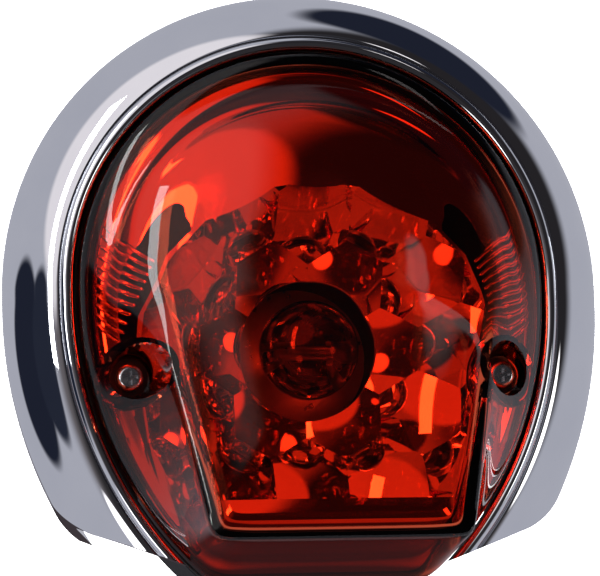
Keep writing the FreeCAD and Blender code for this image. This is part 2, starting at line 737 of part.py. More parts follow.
def contact_spring():
    """A coil of tilted half turns between the socket's back and the contact plate."""
    rear = BARREL_REAR + BARREL_WALL + SPRING_WIRE / 2
    front = CONTACT_FACE - TIP_HEIGHT - CONTACT_PLATE_THICK - SPRING_WIRE / 2
    rise = (front - rear) / (2 * SPRING_TURNS)
    halves = []
    for number in range(2 * SPRING_TURNS):
        side = 1 if number % 2 == 0 else -1
        low = rear + number * rise
        start = at(side * SPRING_RADIUS, low, BULB_Z)
        end = at(-side * SPRING_RADIUS, low + rise, BULB_Z)
        wire = Part.Wire(Part.makeCircle(SPRING_WIRE / 2, start, V(0, 0, 1)))
        tilt = (end - start).normalize()
        axis = V(0, 0, -side).cross(tilt)
        halves.append(Part.Face(wire).revolve((start + end) * 0.5, axis, 180))
    return halves[0].fuse(halves[1:]).removeSplitter()


def socket_terminals():
    """A solder tag behind each of the two contacts."""
    tags = []
    rear = CONTACT_FACE - TIP_HEIGHT - CONTACT_PLATE_THICK
    for sign in (-1, 1):
        x = sign * BULB_CONTACT_SPREAD
        corner = at(x - TERMINAL_THICK / 2, rear, BULB_Z - TERMINAL_WIDTH / 2)
        tags.append(Part.makeBox(TERMINAL_THICK, TERMINAL_LENGTH, TERMINAL_WIDTH, corner))
    return Part.makeCompound(tags)


def socket_boot():
    """A rubber cup over the socket: wide where the bulb's pins stick out, then snug."""
    wide = PIN_REACH + SLOT_CLEARANCE
    neck = PIN_FORWARD - PIN_STAGGER - BAYONET_PUSH - BOOT_NECK_GAP
    cup_rear = BARREL_REAR - BOOT_WALL
    skirt = rod(wide + BOOT_WALL, 0, BULB_Z, neck - BOOT_WALL, BOOT_FRONT)
    cup = rod(BARREL_RADIUS + BOOT_WALL, 0, BULB_Z, cup_rear, BOOT_FRONT)
    tail = rod(BOOT_TAIL_RADIUS, 0, BULB_Z, cup_rear - BOOT_TAIL, BARREL_REAR)
    body = skirt.fuse([cup, tail])
    body = body.cut(rod(wide, 0, BULB_Z, neck, BOOT_FRONT))
    body = body.cut(rod(BARREL_RADIUS, 0, BULB_Z, BARREL_REAR, BOOT_FRONT))
    bore = BOOT_TAIL_RADIUS - BOOT_WALL
    return body.cut(rod(bore, 0, BULB_Z, cup_rear - BOOT_TAIL, BARREL_REAR))


NODES = {
    "chrome_housing": chrome_housing,
    "base_plate": base_plate,
    "base_gasket": base_gasket,
    "mounting_studs": mounting_studs,
    "housing_screws": housing_screws,
    "wire_grommet": wire_grommet,
    "lens": lens,
    "lens_seal": lens_seal,
    "lens_screws": lens_screws,
    "screw_seals": screw_seals,
    "screw_inserts": screw_inserts,
    "reflector": reflector,
    "bulb_glass": bulb_glass,
    "bulb_cap": bulb_cap,
    "bulb_insulator": bulb_insulator,
    "bulb_contacts": bulb_contacts,
    "bulb_stem": bulb_stem,
    "bulb_filaments": bulb_filaments,
    "filament_supports": filament_supports,
    "socket_barrel": socket_barrel,
    "socket_rivets": socket_rivets,
    "contact_plate": contact_plate,
    "contact_tips": contact_tips,
    "contact_spring": contact_spring,
    "socket_terminals": socket_terminals,
    "socket_boot": socket_boot,
}

for node, build in NODES.items():
    save(node, build())
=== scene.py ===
# %% [markdown]
# # A motorcycle tail light
#
# This file dresses a finished CAD model. The frame that is loaded first holds every piece
# at its real size and place, in metres, with +Z up and the lens facing -Y. The studs, the
# base and the hidden electrical parts are shown as the CAD made them, with new finishes.
# The pieces that catch the eye are made again as fine, smooth surfaces: the chromed
# housing, the red lens, the honeycomb reflector and the bulb.

# %% Load the frame
import bpy
import bmesh
import json
import math
import numpy as np
from mathutils import Matrix, Vector


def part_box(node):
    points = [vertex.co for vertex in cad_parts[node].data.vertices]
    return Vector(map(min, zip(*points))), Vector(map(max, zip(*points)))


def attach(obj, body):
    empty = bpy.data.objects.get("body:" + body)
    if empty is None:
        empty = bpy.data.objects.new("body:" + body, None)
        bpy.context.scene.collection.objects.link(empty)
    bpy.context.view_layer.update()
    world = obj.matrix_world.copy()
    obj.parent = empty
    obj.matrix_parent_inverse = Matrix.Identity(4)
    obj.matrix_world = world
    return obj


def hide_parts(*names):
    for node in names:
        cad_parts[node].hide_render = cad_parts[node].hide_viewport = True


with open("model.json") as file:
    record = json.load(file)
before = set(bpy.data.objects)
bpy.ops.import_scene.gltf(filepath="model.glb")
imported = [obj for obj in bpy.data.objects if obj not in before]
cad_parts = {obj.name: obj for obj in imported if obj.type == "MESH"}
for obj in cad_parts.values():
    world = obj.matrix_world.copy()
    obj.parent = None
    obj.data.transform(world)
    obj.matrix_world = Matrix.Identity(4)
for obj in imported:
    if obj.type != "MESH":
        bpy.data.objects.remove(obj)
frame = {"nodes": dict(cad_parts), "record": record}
bpy.context.view_layer.update()
MM = 0.001

# %% [markdown]
# ## Camera
#
# The lamp is seen from a little to its left and from a little below. A long lens, most of
# a metre away, keeps the outline almost free of perspective. The camera is also turned a
# degree and a half about its own line of sight, so the lamp leans slightly to one side.

# %% Place the camera
CAMERA_YAW = math.radians(-10.0)
CAMERA_RISE = math.radians(-8.2)
CAMERA_ROLL = math.radians(-1.6)
CAMERA_DISTANCE = 0.80
CAMERA_AIM = Vector((-0.0019, -0.030, -0.0012))
CAMERA_LENS = 181.6


def add_object(name, data):
    """A new object in the scene for a mesh, a light or a camera."""
    piece = bpy.data.objects.new(name, data)
    bpy.context.scene.collection.objects.link(piece)
    return piece


def place_camera():
    """A camera on a sphere round the aim point, turned about its line of sight."""
    away = Vector(
        (
            math.sin(CAMERA_YAW) * math.cos(CAMERA_RISE),
            -math.cos(CAMERA_YAW) * math.cos(CAMERA_RISE),
            math.sin(CAMERA_RISE),
        )
    )
    data = bpy.data.cameras.new("camera")
    data.lens = CAMERA_LENS
    data.clip_start = 0.01
    camera = add_object("camera", data)
    aim = (-away).to_track_quat("-Z", "Y").to_matrix().to_4x4()
    camera.matrix_world = (
        Matrix.Translation(CAMERA_AIM + away * CAMERA_DISTANCE)
        @ aim
        @ Matrix.Rotation(CAMERA_ROLL, 4, "Z")
    )
    bpy.context.scene.camera = camera
    return camera


camera = place_camera()
print("camera at", [round(c, 3) for c in camera.location])

# %% [markdown]
# ## Measures
#
# Everything that follows is set out from the CAD boxes. The lamp's front view is an arch:
# half a circle on top, a short straight, then two long arcs that run in towards the foot.
# Offsetting such an outline keeps all of its centres, so one formula serves the housing,
# the lens and the reflector.

# %% Read the frame's measures
housing_low, housing_high = (np.array(c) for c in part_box("chrome_housing"))
lens_low, lens_high = (np.array(c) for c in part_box("lens"))
reflector_high = np.array(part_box("reflector")[1])
glass_low, glass_high = (np.array(c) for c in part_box("bulb_glass"))

FLARE_WIDTH = 15.0 * MM
FLARE_FORWARD = 24.0 * MM
HIP_DROP = 4.0 * MM
HIP_SHIFT = 37.0 * MM
LIP_RADIUS = housing_high[0] - FLARE_WIDTH
ARCH_Z = housing_high[2] - housing_high[0]
HIP_Z = ARCH_Z - HIP_DROP
LIP_FORWARD = -housing_low[1]
SIDE_RADIUS = LIP_RADIUS + HIP_SHIFT
print("lip radius mm", round(LIP_RADIUS / MM, 2), "arch centre z mm", round(ARCH_Z / MM, 2))


# %% [markdown]
# ## From arrays to pieces
#
# A surface is worked out as one array of points laid out in rows and columns. Neighbours in
# that grid are joined by quads, and a direction may be closed on itself to make a tube or
# a ring. The arch outline is needed by the housing and by the lens, so it comes first.


# %% Grids and the arch outline
def grid_faces(rows, columns, close_rows=False, close_columns=False, start=0):
    """Quads between neighbours of a rows by columns grid of points."""
    row = np.arange(rows if close_rows else rows - 1)
    column = np.arange(columns if close_columns else columns - 1)
    i, j = np.meshgrid(row, column, indexing="ij")
    i2, j2 = (i + 1) % rows, (j + 1) % columns
    quads = np.stack([i * columns + j, i * columns + j2, i2 * columns + j2, i2 * columns + j], -1)
    return quads.reshape(-1, 4) + start


def rim_curve(share, offset, side_angle):
    """Points (x, z) along the arch outline, moved outwards by offset.

    share runs from -1 at the left foot over the top to 1 at the right foot. On each side
    the outline is a quarter circle, a straight of HIP_DROP and an arc of side_angle. The
    three may be single numbers or arrays of one shape."""
    arch = LIP_RADIUS * math.pi / 2
    travel = np.abs(share) * (arch + HIP_DROP + SIDE_RADIUS * side_angle)
    angle = np.clip(travel / LIP_RADIUS, 0, math.pi / 2)
    drop = np.clip(travel - arch, 0, HIP_DROP)
    turn = np.clip(travel - arch - HIP_DROP, 0, None) / SIDE_RADIUS
    x = np.where(
        turn > 0,
        (SIDE_RADIUS + offset) * np.cos(turn) - HIP_SHIFT,
        (LIP_RADIUS + offset) * np.sin(angle),
    )
    z = np.where(
        turn > 0,
        HIP_Z - (SIDE_RADIUS + offset) * np.sin(turn),
        ARCH_Z + (LIP_RADIUS + offset) * np.cos(angle) - drop,
    )
    return x * np.sign(share + 1e-12), z


# %% [markdown]
# ## Finishes
#
# Chrome shows only what stands round it, so its finish is a clean mirror with the very
# slight unevenness that polished and plated plastic has. The lens is a clear red plastic:
# light is tinted each time that it goes through. The reflector is a mirror too, but a
# softer and warmer one, because vacuum coating follows the moulded surface under it.


# %% Recipes for the finishes
def new_material(name):
    """A new material with its node tree and its main shader."""
    material = bpy.data.materials.new(name)
    material.use_nodes = True
    tree = material.node_tree
    return material, tree, tree.nodes["Principled BSDF"]


def add_noise(tree, scale, detail=3.0):
    """Noise laid out in the piece's own metres."""
    where = tree.nodes.new("ShaderNodeTexCoord")
    noise = tree.nodes.new("ShaderNodeTexNoise")
    noise.inputs["Scale"].default_value = scale
    noise.inputs["Detail"].default_value = detail
    tree.links.new(where.outputs["Object"], noise.inputs["Vector"])
    return noise


def vary(tree, noise, socket, low, high):
    """Drives a socket between two values by the noise."""
    spread = tree.nodes.new("ShaderNodeMapRange")
    spread.inputs["From Min"].default_value = 0.3
    spread.inputs["From Max"].default_value = 0.7
    spread.inputs["To Min"].default_value = low
    spread.inputs["To Max"].default_value = high
    tree.links.new(noise.outputs["Fac"], spread.inputs["Value"])
    tree.links.new(spread.outputs["Result"], socket)


def vary_colour(tree, noise, socket, dark, light):
    """Drives a colour socket between two tones by the noise."""
    ramp = tree.nodes.new("ShaderNodeValToRGB")
    ramp.color_ramp.elements[0].position = 0.3
    ramp.color_ramp.elements[0].color = (*dark, 1)
    ramp.color_ramp.elements[1].position = 0.7
    ramp.color_ramp.elements[1].color = (*light, 1)
    tree.links.new(noise.outputs["Fac"], ramp.inputs["Fac"])
    tree.links.new(ramp.outputs["Color"], socket)


def add_bump(tree, shader, noise, distance):
    """Raises and lowers the surface a little by the noise."""
    bump = tree.nodes.new("ShaderNodeBump")
    bump.inputs["Distance"].default_value = distance
    bump.inputs["Strength"].default_value = 1.0
    tree.links.new(noise.outputs["Fac"], bump.inputs["Height"])
    tree.links.new(bump.outputs["Normal"], shader.inputs["Normal"])


def metal(name, dark, light, rough_low, rough_high, scale, bump):
    """A metal whose tone and roughness wander a little, with an optional fine bump."""
    material, tree, shader = new_material(name)
    noise = add_noise(tree, scale)
    shader.inputs["Metallic"].default_value = 1.0
    vary_colour(tree, noise, shader.inputs["Base Color"], dark, light)
    vary(tree, noise, shader.inputs["Roughness"], rough_low, rough_high)
    if bump:
        add_bump(tree, shader, noise, bump)
    return material


def moulded(name, dark, light, rough_low, rough_high, scale, bump):
    """Plastic or rubber with a fine moulded grain."""
    material, tree, shader = new_material(name)
    noise = add_noise(tree, scale, detail=6.0)
    vary_colour(tree, noise, shader.inputs["Base Color"], dark, light)
    vary(tree, noise, shader.inputs["Roughness"], rough_low, rough_high)
    add_bump(tree, shader, noise, bump)
    return material


def clear(name, dark, light, rough, ior, scale):
    """A see-through solid whose tint wanders a little."""
    material, tree, shader = new_material(name)
    noise = add_noise(tree, scale)
    vary_colour(tree, noise, shader.inputs["Base Color"], dark, light)
    shader.inputs["Roughness"].default_value = rough
    shader.inputs["IOR"].default_value = ior
    shader.inputs["Transmission Weight"].default_value = 1.0
    return material


# %% [markdown]
# The finishes are listed as tables, so that one can be compared with the next, and each
# table is turned into materials by its own recipe.

# %% Tables of finishes
# darker tone, lighter tone, least and most roughness, noise scale, bump in metres
METALS = {
    "chrome_plate": ((0.74, 0.755, 0.80), (0.78, 0.79, 0.83), 0.015, 0.045, 60.0, 0.0),
    "mirror_coat": ((0.80, 0.79, 0.76), (0.88, 0.87, 0.85), 0.02, 0.06, 45.0, 0.0),
    "zinc_steel": ((0.50, 0.51, 0.52), (0.66, 0.67, 0.66), 0.25, 0.42, 300.0, 0.00002),
    "bright_steel": ((0.66, 0.67, 0.70), (0.78, 0.78, 0.80), 0.12, 0.25, 400.0, 0.00001),
    "brass": ((0.62, 0.44, 0.18), (0.74, 0.56, 0.28), 0.22, 0.38, 350.0, 0.00002),
    "solder": ((0.48, 0.48, 0.47), (0.62, 0.62, 0.60), 0.35, 0.5, 500.0, 0.00006),
    "tungsten": ((0.26, 0.26, 0.27), (0.40, 0.40, 0.42), 0.3, 0.45, 600.0, 0.0),
}
MOULDED = {
    "black_base": ((0.020, 0.020, 0.022), (0.035, 0.035, 0.038), 0.42, 0.6, 900.0, 0.00006),
    "foam_rubber": ((0.016, 0.016, 0.017), (0.030, 0.030, 0.030), 0.7, 0.9, 1400.0, 0.00012),
    "phenolic": ((0.12, 0.055, 0.02), (0.20, 0.10, 0.04), 0.45, 0.6, 700.0, 0.00005),
    "black_glass": ((0.010, 0.010, 0.012), (0.02, 0.02, 0.022), 0.12, 0.2, 300.0, 0.00001),
}
# darker tint, lighter tint, roughness, index of refraction, noise scale
CLEAR = {
    "red_lens": ((0.92, 0.125, 0.05), (0.94, 0.145, 0.06), 0.0, 1.40, 25.0),
    "clear_glass": ((0.94, 0.95, 0.95), (0.98, 0.98, 0.98), 0.0, 1.5, 60.0),
}
FINISHES = {name: metal(name, *values) for name, values in METALS.items()}
FINISHES |= {name: moulded(name, *values) for name, values in MOULDED.items()}
FINISHES |= {name: clear(name, *values) for name, values in CLEAR.items()}
print(len(FINISHES), "finishes")

# %% [markdown]
# Every CAD node has a slot in the record that names its material. The node gets the finish
# of that name, and so does each new piece that stands in for a node.


# %% Dress the CAD nodes
slot_of = {part["node"]: part["material_slot"] for part in frame["record"]["subparts"]}
for node, piece in frame["nodes"].items():
    piece.data.materials.clear()
    piece.data.materials.append(FINISHES[slot_of[node]])
print(len(slot_of), "CAD nodes given a finish")


def dress(piece, slot):
    """Gives a new piece the finish of the slot that it comes from."""
    piece.data.materials.append(FINISHES[slot])


# %% [markdown]
# ## Chromed housing
#
# On the real lamp this is one moulding: a skirt that widens towards the front, rolls over
# in a soft flare and ends in a narrow round bead beside the lens. It could be a subdivided
# box or a lathe with a cut, but both leave waves that a mirror finish shows at once. Here
# one closed profile is carried round the arch, and every point of the profile stops where
# it meets the slanting foot line, so the surface has no seam and no stretched end.

# %% Profile of the housing
SKIRT_TUCK = 4.0 * MM
WALL = 2.4 * MM
HOUSING_REAR = -housing_high[1]
BEAD_OUTER = 1.1 * MM
BEAD_INNER = -2.5 * MM
BEAD_FOOT = LIP_FORWARD - 1.9 * MM
LIP_WALL_END = LIP_FORWARD - 5.0 * MM
FLARE_END = LIP_FORWARD - 1.2 * MM
CORNER_Z = -63.0 * MM
TOE_Z = housing_low[2]
CORNER_ROUND = 5.0 * MM
FLARE_FULLNESS = 1.45
BEAD_GAP = 0.5 * MM
HOUSING_ROWS = 420
HOUSING_SHARP_DEGREES = 35


def flare_profile(steps):
    """Outer skirt, flare and bead as (offset, forward) arrays, from the rear to the lip.

    The flare is cos and sin of a quarter turn, each raised to FLARE_FULLNESS: 1 would be a
    quarter ellipse and 2 a straight cone."""
    rise = np.linspace(0, 1, steps // 4)
    skirt_forward = HOUSING_REAR + rise * (FLARE_FORWARD - HOUSING_REAR)
    skirt_offset = FLARE_WIDTH - SKIRT_TUCK * (1 - rise) ** 2
    turn = np.linspace(0, math.pi / 2, steps)[1:]
    reach = FLARE_WIDTH - BEAD_OUTER - BEAD_GAP
    flare_offset = BEAD_OUTER + BEAD_GAP + reach * np.cos(turn) ** FLARE_FULLNESS
    flare_forward = FLARE_FORWARD + (FLARE_END - FLARE_FORWARD) * np.sin(turn) ** FLARE_FULLNESS
    bead_turn = np.linspace(0, math.pi, steps // 3)
    middle = (BEAD_OUTER + BEAD_INNER) / 2
    half = (BEAD_OUTER - BEAD_INNER) / 2
    bead_offset = middle + half * np.cos(bead_turn)
    bead_forward = BEAD_FOOT + (LIP_FORWARD - BEAD_FOOT) * np.sin(bead_turn)
    offset = np.concatenate([skirt_offset, flare_offset, bead_offset])
    forward = np.concatenate([skirt_forward, flare_forward, bead_forward])
    return offset, forward


def inner_profile(steps):
    """The lip's inner wall and the inside of the flare, back to the rear edge."""
    start = BEAD_INNER + WALL
    turn = np.linspace(math.pi / 2, 0, steps)
    reach = FLARE_WIDTH - WALL - start
    offset = start + reach * np.cos(turn)
    forward = FLARE_FORWARD + (LIP_WALL_END + MM - FLARE_FORWARD) * np.sin(turn)
    rear_offset = FLARE_WIDTH - WALL - SKIRT_TUCK
    offset = np.concatenate([[BEAD_INNER], offset, [rear_offset]])
    forward = np.concatenate([[LIP_WALL_END], forward, [HOUSING_REAR]])
    return offset, forward


print("housing profile", len(flare_profile(64)[0]) + len(inner_profile(24)[0]), "points")

# %% [markdown]
# The foot of the housing is cut along a slanting line. Every point of the profile travels
# its own circle, so the place where each circle meets the line is worked out and the point
# stops there.


# %% Make the housing
def foot_angle(offset):
    """How far round the side arc a profile point goes before the slanting foot line.

    The line runs from the outer corner to the toe. On a circle of radius r about the side
    centre it is met where r (sin a + m cos a) = k, so a = asin(k / (r sqrt(1 + m^2))) -
    atan(m). Near the outer edge k shrinks along a quarter circle, which rounds the corner."""
    corner_x = side_x(FLARE_WIDTH, CORNER_Z)
    toe_x = side_x(BEAD_INNER, TOE_Z)
    slope = (CORNER_Z - TOE_Z) / (corner_x - toe_x)
    reach = np.clip((offset - FLARE_WIDTH + CORNER_ROUND) / CORNER_ROUND, 0, 1)
    trim = CORNER_ROUND * (1 - np.sqrt(1 - reach**2))
    k = HIP_Z - CORNER_Z + slope * (HIP_SHIFT + corner_x) - trim
    radius = SIDE_RADIUS + offset
    return np.arcsin(k / (radius * math.hypot(1, slope))) - math.atan(slope)


def side_x(offset, z):
    """Half width of the outline at a height below the hips."""
    return np.sqrt((SIDE_RADIUS + offset) ** 2 - (z - HIP_Z) ** 2) - HIP_SHIFT


def housing():
    """The closed profile carried round the arch, with a flat cap at each foot."""
    outer = flare_profile(64)
    inner = inner_profile(24)
    offset = np.concatenate([outer[0], inner[0]])
    forward = np.concatenate([outer[1], inner[1]])
    along = np.linspace(-1, 1, HOUSING_ROWS)
    share, offsets = np.meshgrid(along, offset, indexing="ij")
    angles = np.broadcast_to(foot_angle(offset), share.shape)
    x, z = rim_curve(share, offsets, angles)
    y = np.broadcast_to(-forward, share.shape)
    points = np.stack([x, y, z], -1).reshape(-1, 3)
    rows, columns = share.shape
    faces = grid_faces(rows, columns, close_columns=True).tolist()
    faces.append(list(range(columns)))
    faces.append(list(range((rows - 1) * columns, rows * columns))[::-1])
    mesh = bpy.data.meshes.new("housing_shell")
    mesh.from_pydata(points.tolist(), [], faces)
    mesh.validate()
    mesh.update()
    mesh.shade_smooth()
    mesh.set_sharp_from_angle(angle=math.radians(HOUSING_SHARP_DEGREES))
    piece = add_object("housing_shell", mesh)
    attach(piece, "housing")
    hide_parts("chrome_housing")
    dress(piece, "chrome_plate")
    return piece


shell = housing()
print("housing", len(shell.data.vertices), "points")

# %% [markdown]
# ## Lens
#
# The lens is a dome with flats: a round top, two side faces that meet the sloping front
# along creases, and a nearly level underside. A box with bevels would give creases that
# never fade, while the real ones vanish into the dome. So the surface is a bundle of
# profiles: from each point of the rim a line goes forward over the collar, up the side
# face to the edge of the front, and on to the middle. Each profile is smoothed along its
# own length, little at the sides and much at the top, and that makes the crease fade.

# %% Outlines of the lens
LENS_OFFSET = lens_high[0] - LIP_RADIUS
LENS_REAR = -lens_high[1]
LENS_WALL = 2.5 * MM
COLLAR_FORWARD = 40.0 * MM
FACE_TOP_Z = 46.0 * MM
FACE_HIP_Z = 2.0 * MM
FACE_BOTTOM_Z = -70.0 * MM
FACE_TOP_HALF = 46.0 * MM
FACE_BOTTOM_HALF = 33.0 * MM
FACE_TOP_FORWARD = 47.0 * MM
FACE_BOTTOM_FORWARD = -lens_low[1]
FACE_CENTRE_Z = -12.0 * MM
LOOP_POINTS = 720
FINE_POINTS = 4000


def face_forward(z):
    """Forward distance of the flat front, which slopes out towards the foot."""
    share = (FACE_TOP_Z - z) / (FACE_TOP_Z - FACE_BOTTOM_Z)
    return FACE_TOP_FORWARD + share * (FACE_BOTTOM_FORWARD - FACE_TOP_FORWARD)


def resample(points, count):
    """count points evenly spaced along a closed line."""
    loop = np.vstack([points, points[:1]])
    length = np.concatenate([[0], np.cumsum(np.linalg.norm(np.diff(loop, axis=0), axis=1))])
    place = np.arange(count) / count * length[-1]
    return np.stack([np.interp(place, length, loop[:, k]) for k in range(2)], -1)


def soften_loop(points, width):
    """Rounds the corners of an evenly spaced closed line with a bell-shaped average."""
    step = np.linalg.norm(points[1] - points[0])
    frequency = np.fft.fftfreq(len(points), d=step)
    bell = np.exp(-2 * (math.pi * frequency * width) ** 2)
    return np.stack([np.fft.ifft(np.fft.fft(points[:, k]) * bell).real for k in range(2)], -1)


def rim_loop(offset, bottom_z):
    """The closed arch outline, from the middle of its foot up the left side and round."""
    side_angle = math.asin((HIP_Z - bottom_z) / (SIDE_RADIUS + offset))
    x, z = rim_curve(np.linspace(-1, 1, 2001), offset, side_angle)
    foot = np.linspace(0, 1, 200)[:-1]
    left = np.stack([foot * x[0], np.full_like(foot, bottom_z)], -1)
    right = left[::-1] * np.array([-1, 1])
    return np.vstack([left, np.stack([x, z], -1), right[:-1]])


print("rim", len(rim_loop(LENS_OFFSET, lens_low[2])), "points")

# %% [markdown]
# The rim and the edge of the front face must have the same number of points, with each
# point of one facing a point of the other across the face's centre.


# %% Match the face to the rim
def face_loop(inset):
    """The closed edge of the front face, in the same order as rim_loop."""
    hip, foot = FACE_TOP_HALF - inset, FACE_BOTTOM_HALF - inset
    low = FACE_BOTTOM_Z + inset
    along = np.linspace(0, 1, 200)[:-1]
    left_foot = np.stack([-along * foot, np.full_like(along, low)], -1)
    up = np.linspace(0, 1, 500)[:-1, None]
    left = (1 - up) * np.array([-foot, low]) + up * np.array([-hip, FACE_HIP_Z])
    turn = np.linspace(-math.pi / 2, math.pi / 2, 1001)[:, None]
    rise = FACE_TOP_Z - inset - FACE_HIP_Z
    arch = np.hstack([hip * np.sin(turn), FACE_HIP_Z + rise * np.cos(turn)])
    mirror = np.array([-1, 1])
    return np.vstack([left_foot, left, arch, left[::-1] * mirror, left_foot[::-1][:-1] * mirror])


def about_centre(points):
    """Angle of each point round the face's centre, growing clockwise from the foot."""
    return np.unwrap(np.arctan2(-points[:, 0], FACE_CENTRE_Z - points[:, 1]))


def at_angles(points, angles):
    """The points of a closed line at the given angles round the face's centre."""
    own = about_centre(points)
    turn = math.copysign(2 * math.pi, own[-1] - own[0])
    own = np.concatenate([own - turn, own, own + turn])
    wrapped = np.vstack([points, points, points])
    order = np.argsort(own)
    return np.stack([np.interp(angles, own[order], wrapped[order, k]) for k in range(2)], -1)


def matched_loops(inset, softness):
    """Rim and face outlines of LOOP_POINTS points each, point k of one facing k of the other."""
    arch = rim_loop(LENS_OFFSET - inset, lens_low[2] + inset)
    rim = soften_loop(resample(arch, FINE_POINTS), softness)
    face = soften_loop(resample(face_loop(inset), FINE_POINTS), softness)
    rim_even = resample(rim, LOOP_POINTS)
    return rim_even, at_angles(face, about_centre(rim_even))


rim_points, face_points = matched_loops(0.0, 3.0 * MM)
print("rim", rim_points.min(0) / MM, rim_points.max(0) / MM)
print("face", face_points.min(0) / MM, face_points.max(0) / MM)

# %% [markdown]
# The profiles of the lens are worked out all at once, as one array with a row for every
# profile and a column for every step along it. A bell-shaped average along the rows rounds
# the corners, and its width may differ from place to place.

# %% Profiles of the lens
STEPS = 260
SIDE_CREASE = 1.9 * MM
TOP_CREASE = 15.0 * MM
COLLAR_CREASE = 1.5 * MM
CREASE_FADES_FROM = -24.0 * MM
CREASE_GONE_AT = 8.0 * MM
BELL_REACH = 2.6
CENTRE_CROWDING = 1.35


def ease(value, start, end):
    """0 below start, 1 above end, with a soft S between them."""
    share = np.clip((value - start) / (end - start), 0, 1)
    return share * share * (3 - 2 * share)


def straight_profiles(rim, face, rear, collar, inset):
    """Unrounded profiles as (loops, STEPS, 3) points, with where their corners lie.

    A profile runs along Y over the collar, straight to the edge of the front face, and then
    straight over that face to its centre, at an even pace."""
    count = len(rim)
    face_y = face_forward(face[:, 1]) - inset
    centre = np.array([0, face_forward(FACE_CENTRE_Z) - inset, FACE_CENTRE_Z])
    corners = np.zeros((count, 4, 3))
    corners[:, 0] = np.stack([rim[:, 0], np.full(count, rear), rim[:, 1]], -1)
    corners[:, 1] = np.stack([rim[:, 0], np.full(count, collar), rim[:, 1]], -1)
    corners[:, 2] = np.stack([face[:, 0], face_y, face[:, 1]], -1)
    corners[:, 3] = centre
    runs = np.linalg.norm(np.diff(corners, axis=1), axis=2)
    marks = np.concatenate([np.zeros((count, 1)), np.cumsum(runs, axis=1)], axis=1)
    place = np.linspace(0, 1, STEPS)[None, :] * marks[:, -1:]
    points = np.zeros((count, STEPS, 3))
    for run in range(3):
        share = np.clip((place - marks[:, run : run + 1]) / runs[:, run : run + 1], 0, 1)
        points += share[..., None] * (corners[:, run + 1] - corners[:, run])[:, None, :]
    return points + corners[:, :1], marks


def round_profiles(points, marks, face_z, crown):
    """The profiles with their corners rounded and the front face slightly crowned.

    Each point becomes the average of its neighbours along the profile, weighted by the bell
    curve exp(-d^2 / 2 w^2) of their distance d, and w is the crease's width there. Past its
    two ends a profile is continued by its own mirror image, so that the ends stay put."""
    count = len(points)
    step = marks[:, -1] / (STEPS - 1)
    place = np.arange(STEPS)[None, :] * step[:, None]
    crease = SIDE_CREASE + (TOP_CREASE - SIDE_CREASE) * ease(face_z, CREASE_FADES_FROM, CREASE_GONE_AT)
    past_collar = ease(place, marks[:, 1:2], (marks[:, 1:2] + marks[:, 2:3]) / 2)
    width = COLLAR_CREASE + (crease[:, None] - COLLAR_CREASE) * past_collar
    reach = min(int(BELL_REACH * TOP_CREASE / step.min()) + 1, STEPS - 2)
    before = 2 * points[:, :1] - points[:, 1 : reach + 1][:, ::-1]
    after = 2 * points[:, -1:] - points[:, -reach - 1 : -1][:, ::-1]
    padded = np.concatenate([before, points, after], axis=1)
    total = np.zeros((count, STEPS, 1))
    result = np.zeros_like(points)
    for shift in range(-reach, reach + 1):
        weight = np.exp(-0.5 * (shift * step[:, None] / width) ** 2)[..., None]
        result += weight * padded[:, reach + shift : reach + shift + STEPS]
        total += weight
    result /= total
    along = np.clip((place - marks[:, 2:3]) / (marks[:, 3:4] - marks[:, 2:3]), 0, 1)
    result[..., 1] += crown * (1 - (1 - along) ** 2) * ease(along, 0, 0.5)
    return result


# %% [markdown]
# The rounding needs many even steps, but the mesh doesn't. Only the steps that the shape
# needs are kept, and most of them lie where it bends.


# %% Make the dome of the lens
def pick_steps(points, marks, counts):
    """Fewer steps along each profile, crowded where the corners are.

    Each of the three runs gets its own number of steps. The first two are spaced by half a
    straight line and half a cosine, and the last by a power, so that they bunch at corners."""
    step = marks[:, -1:] / (STEPS - 1)
    places = [marks[:, :1]]
    for run, number in enumerate(counts):
        share = np.arange(1, number + 1) / number
        eased = 0.5 * share + 0.5 * (1 - np.cos(math.pi * share)) / 2
        if run == 2:
            eased = 1 - (1 - share) ** CENTRE_CROWDING * 0.999 - 0.001 * (1 - share)
        places.append(marks[:, run : run + 1] + eased * (marks[:, run + 1] - marks[:, run])[:, None])
    index = np.concatenate(places, axis=1) / step
    low = np.clip(index.astype(int), 0, STEPS - 2)
    rest = (index - low)[..., None]
    left = np.take_along_axis(points, low[..., None], axis=1)
    right = np.take_along_axis(points, low[..., None] + 1, axis=1)
    return left * (1 - rest) + right * rest


def dome(inset, softness, rear, counts, crown):
    """A smooth dome surface: (loops, steps, 3) points with Y as the forward distance."""
    rim, face = matched_loops(inset, softness)
    collar = COLLAR_FORWARD - inset
    straight, marks = straight_profiles(rim, face, rear, collar, inset)
    rounded = round_profiles(straight, marks, face[:, 1], crown)
    picked = pick_steps(rounded, marks, counts)
    picked[:, -1] = picked[:, -1].mean(axis=0)
    return picked


LENS_CROWN = 1.0 * MM
outer_dome = dome(0.0, 2.4 * MM, LENS_REAR, (6, 32, 38), LENS_CROWN)
print("lens surface", outer_dome.shape, (outer_dome.reshape(-1, 3).max(0) / MM).round(1))

# %% [markdown]
# Two such domes, one inside the other, make the lens a real shell 2.5 mm thick, which is
# what bends the light at its edges. The two lens screws stand in flared pockets that cut
# through the side faces. A pocket is a cone taken away from a thicker cone, so its wall is
# as thick as the rest. The shell, the walls and the cuts are joined by booleans, because
# their meeting lines are far too awkward to be written as a formula.


# %% Closed shapes and booleans
MERGE_DISTANCE = 2e-6


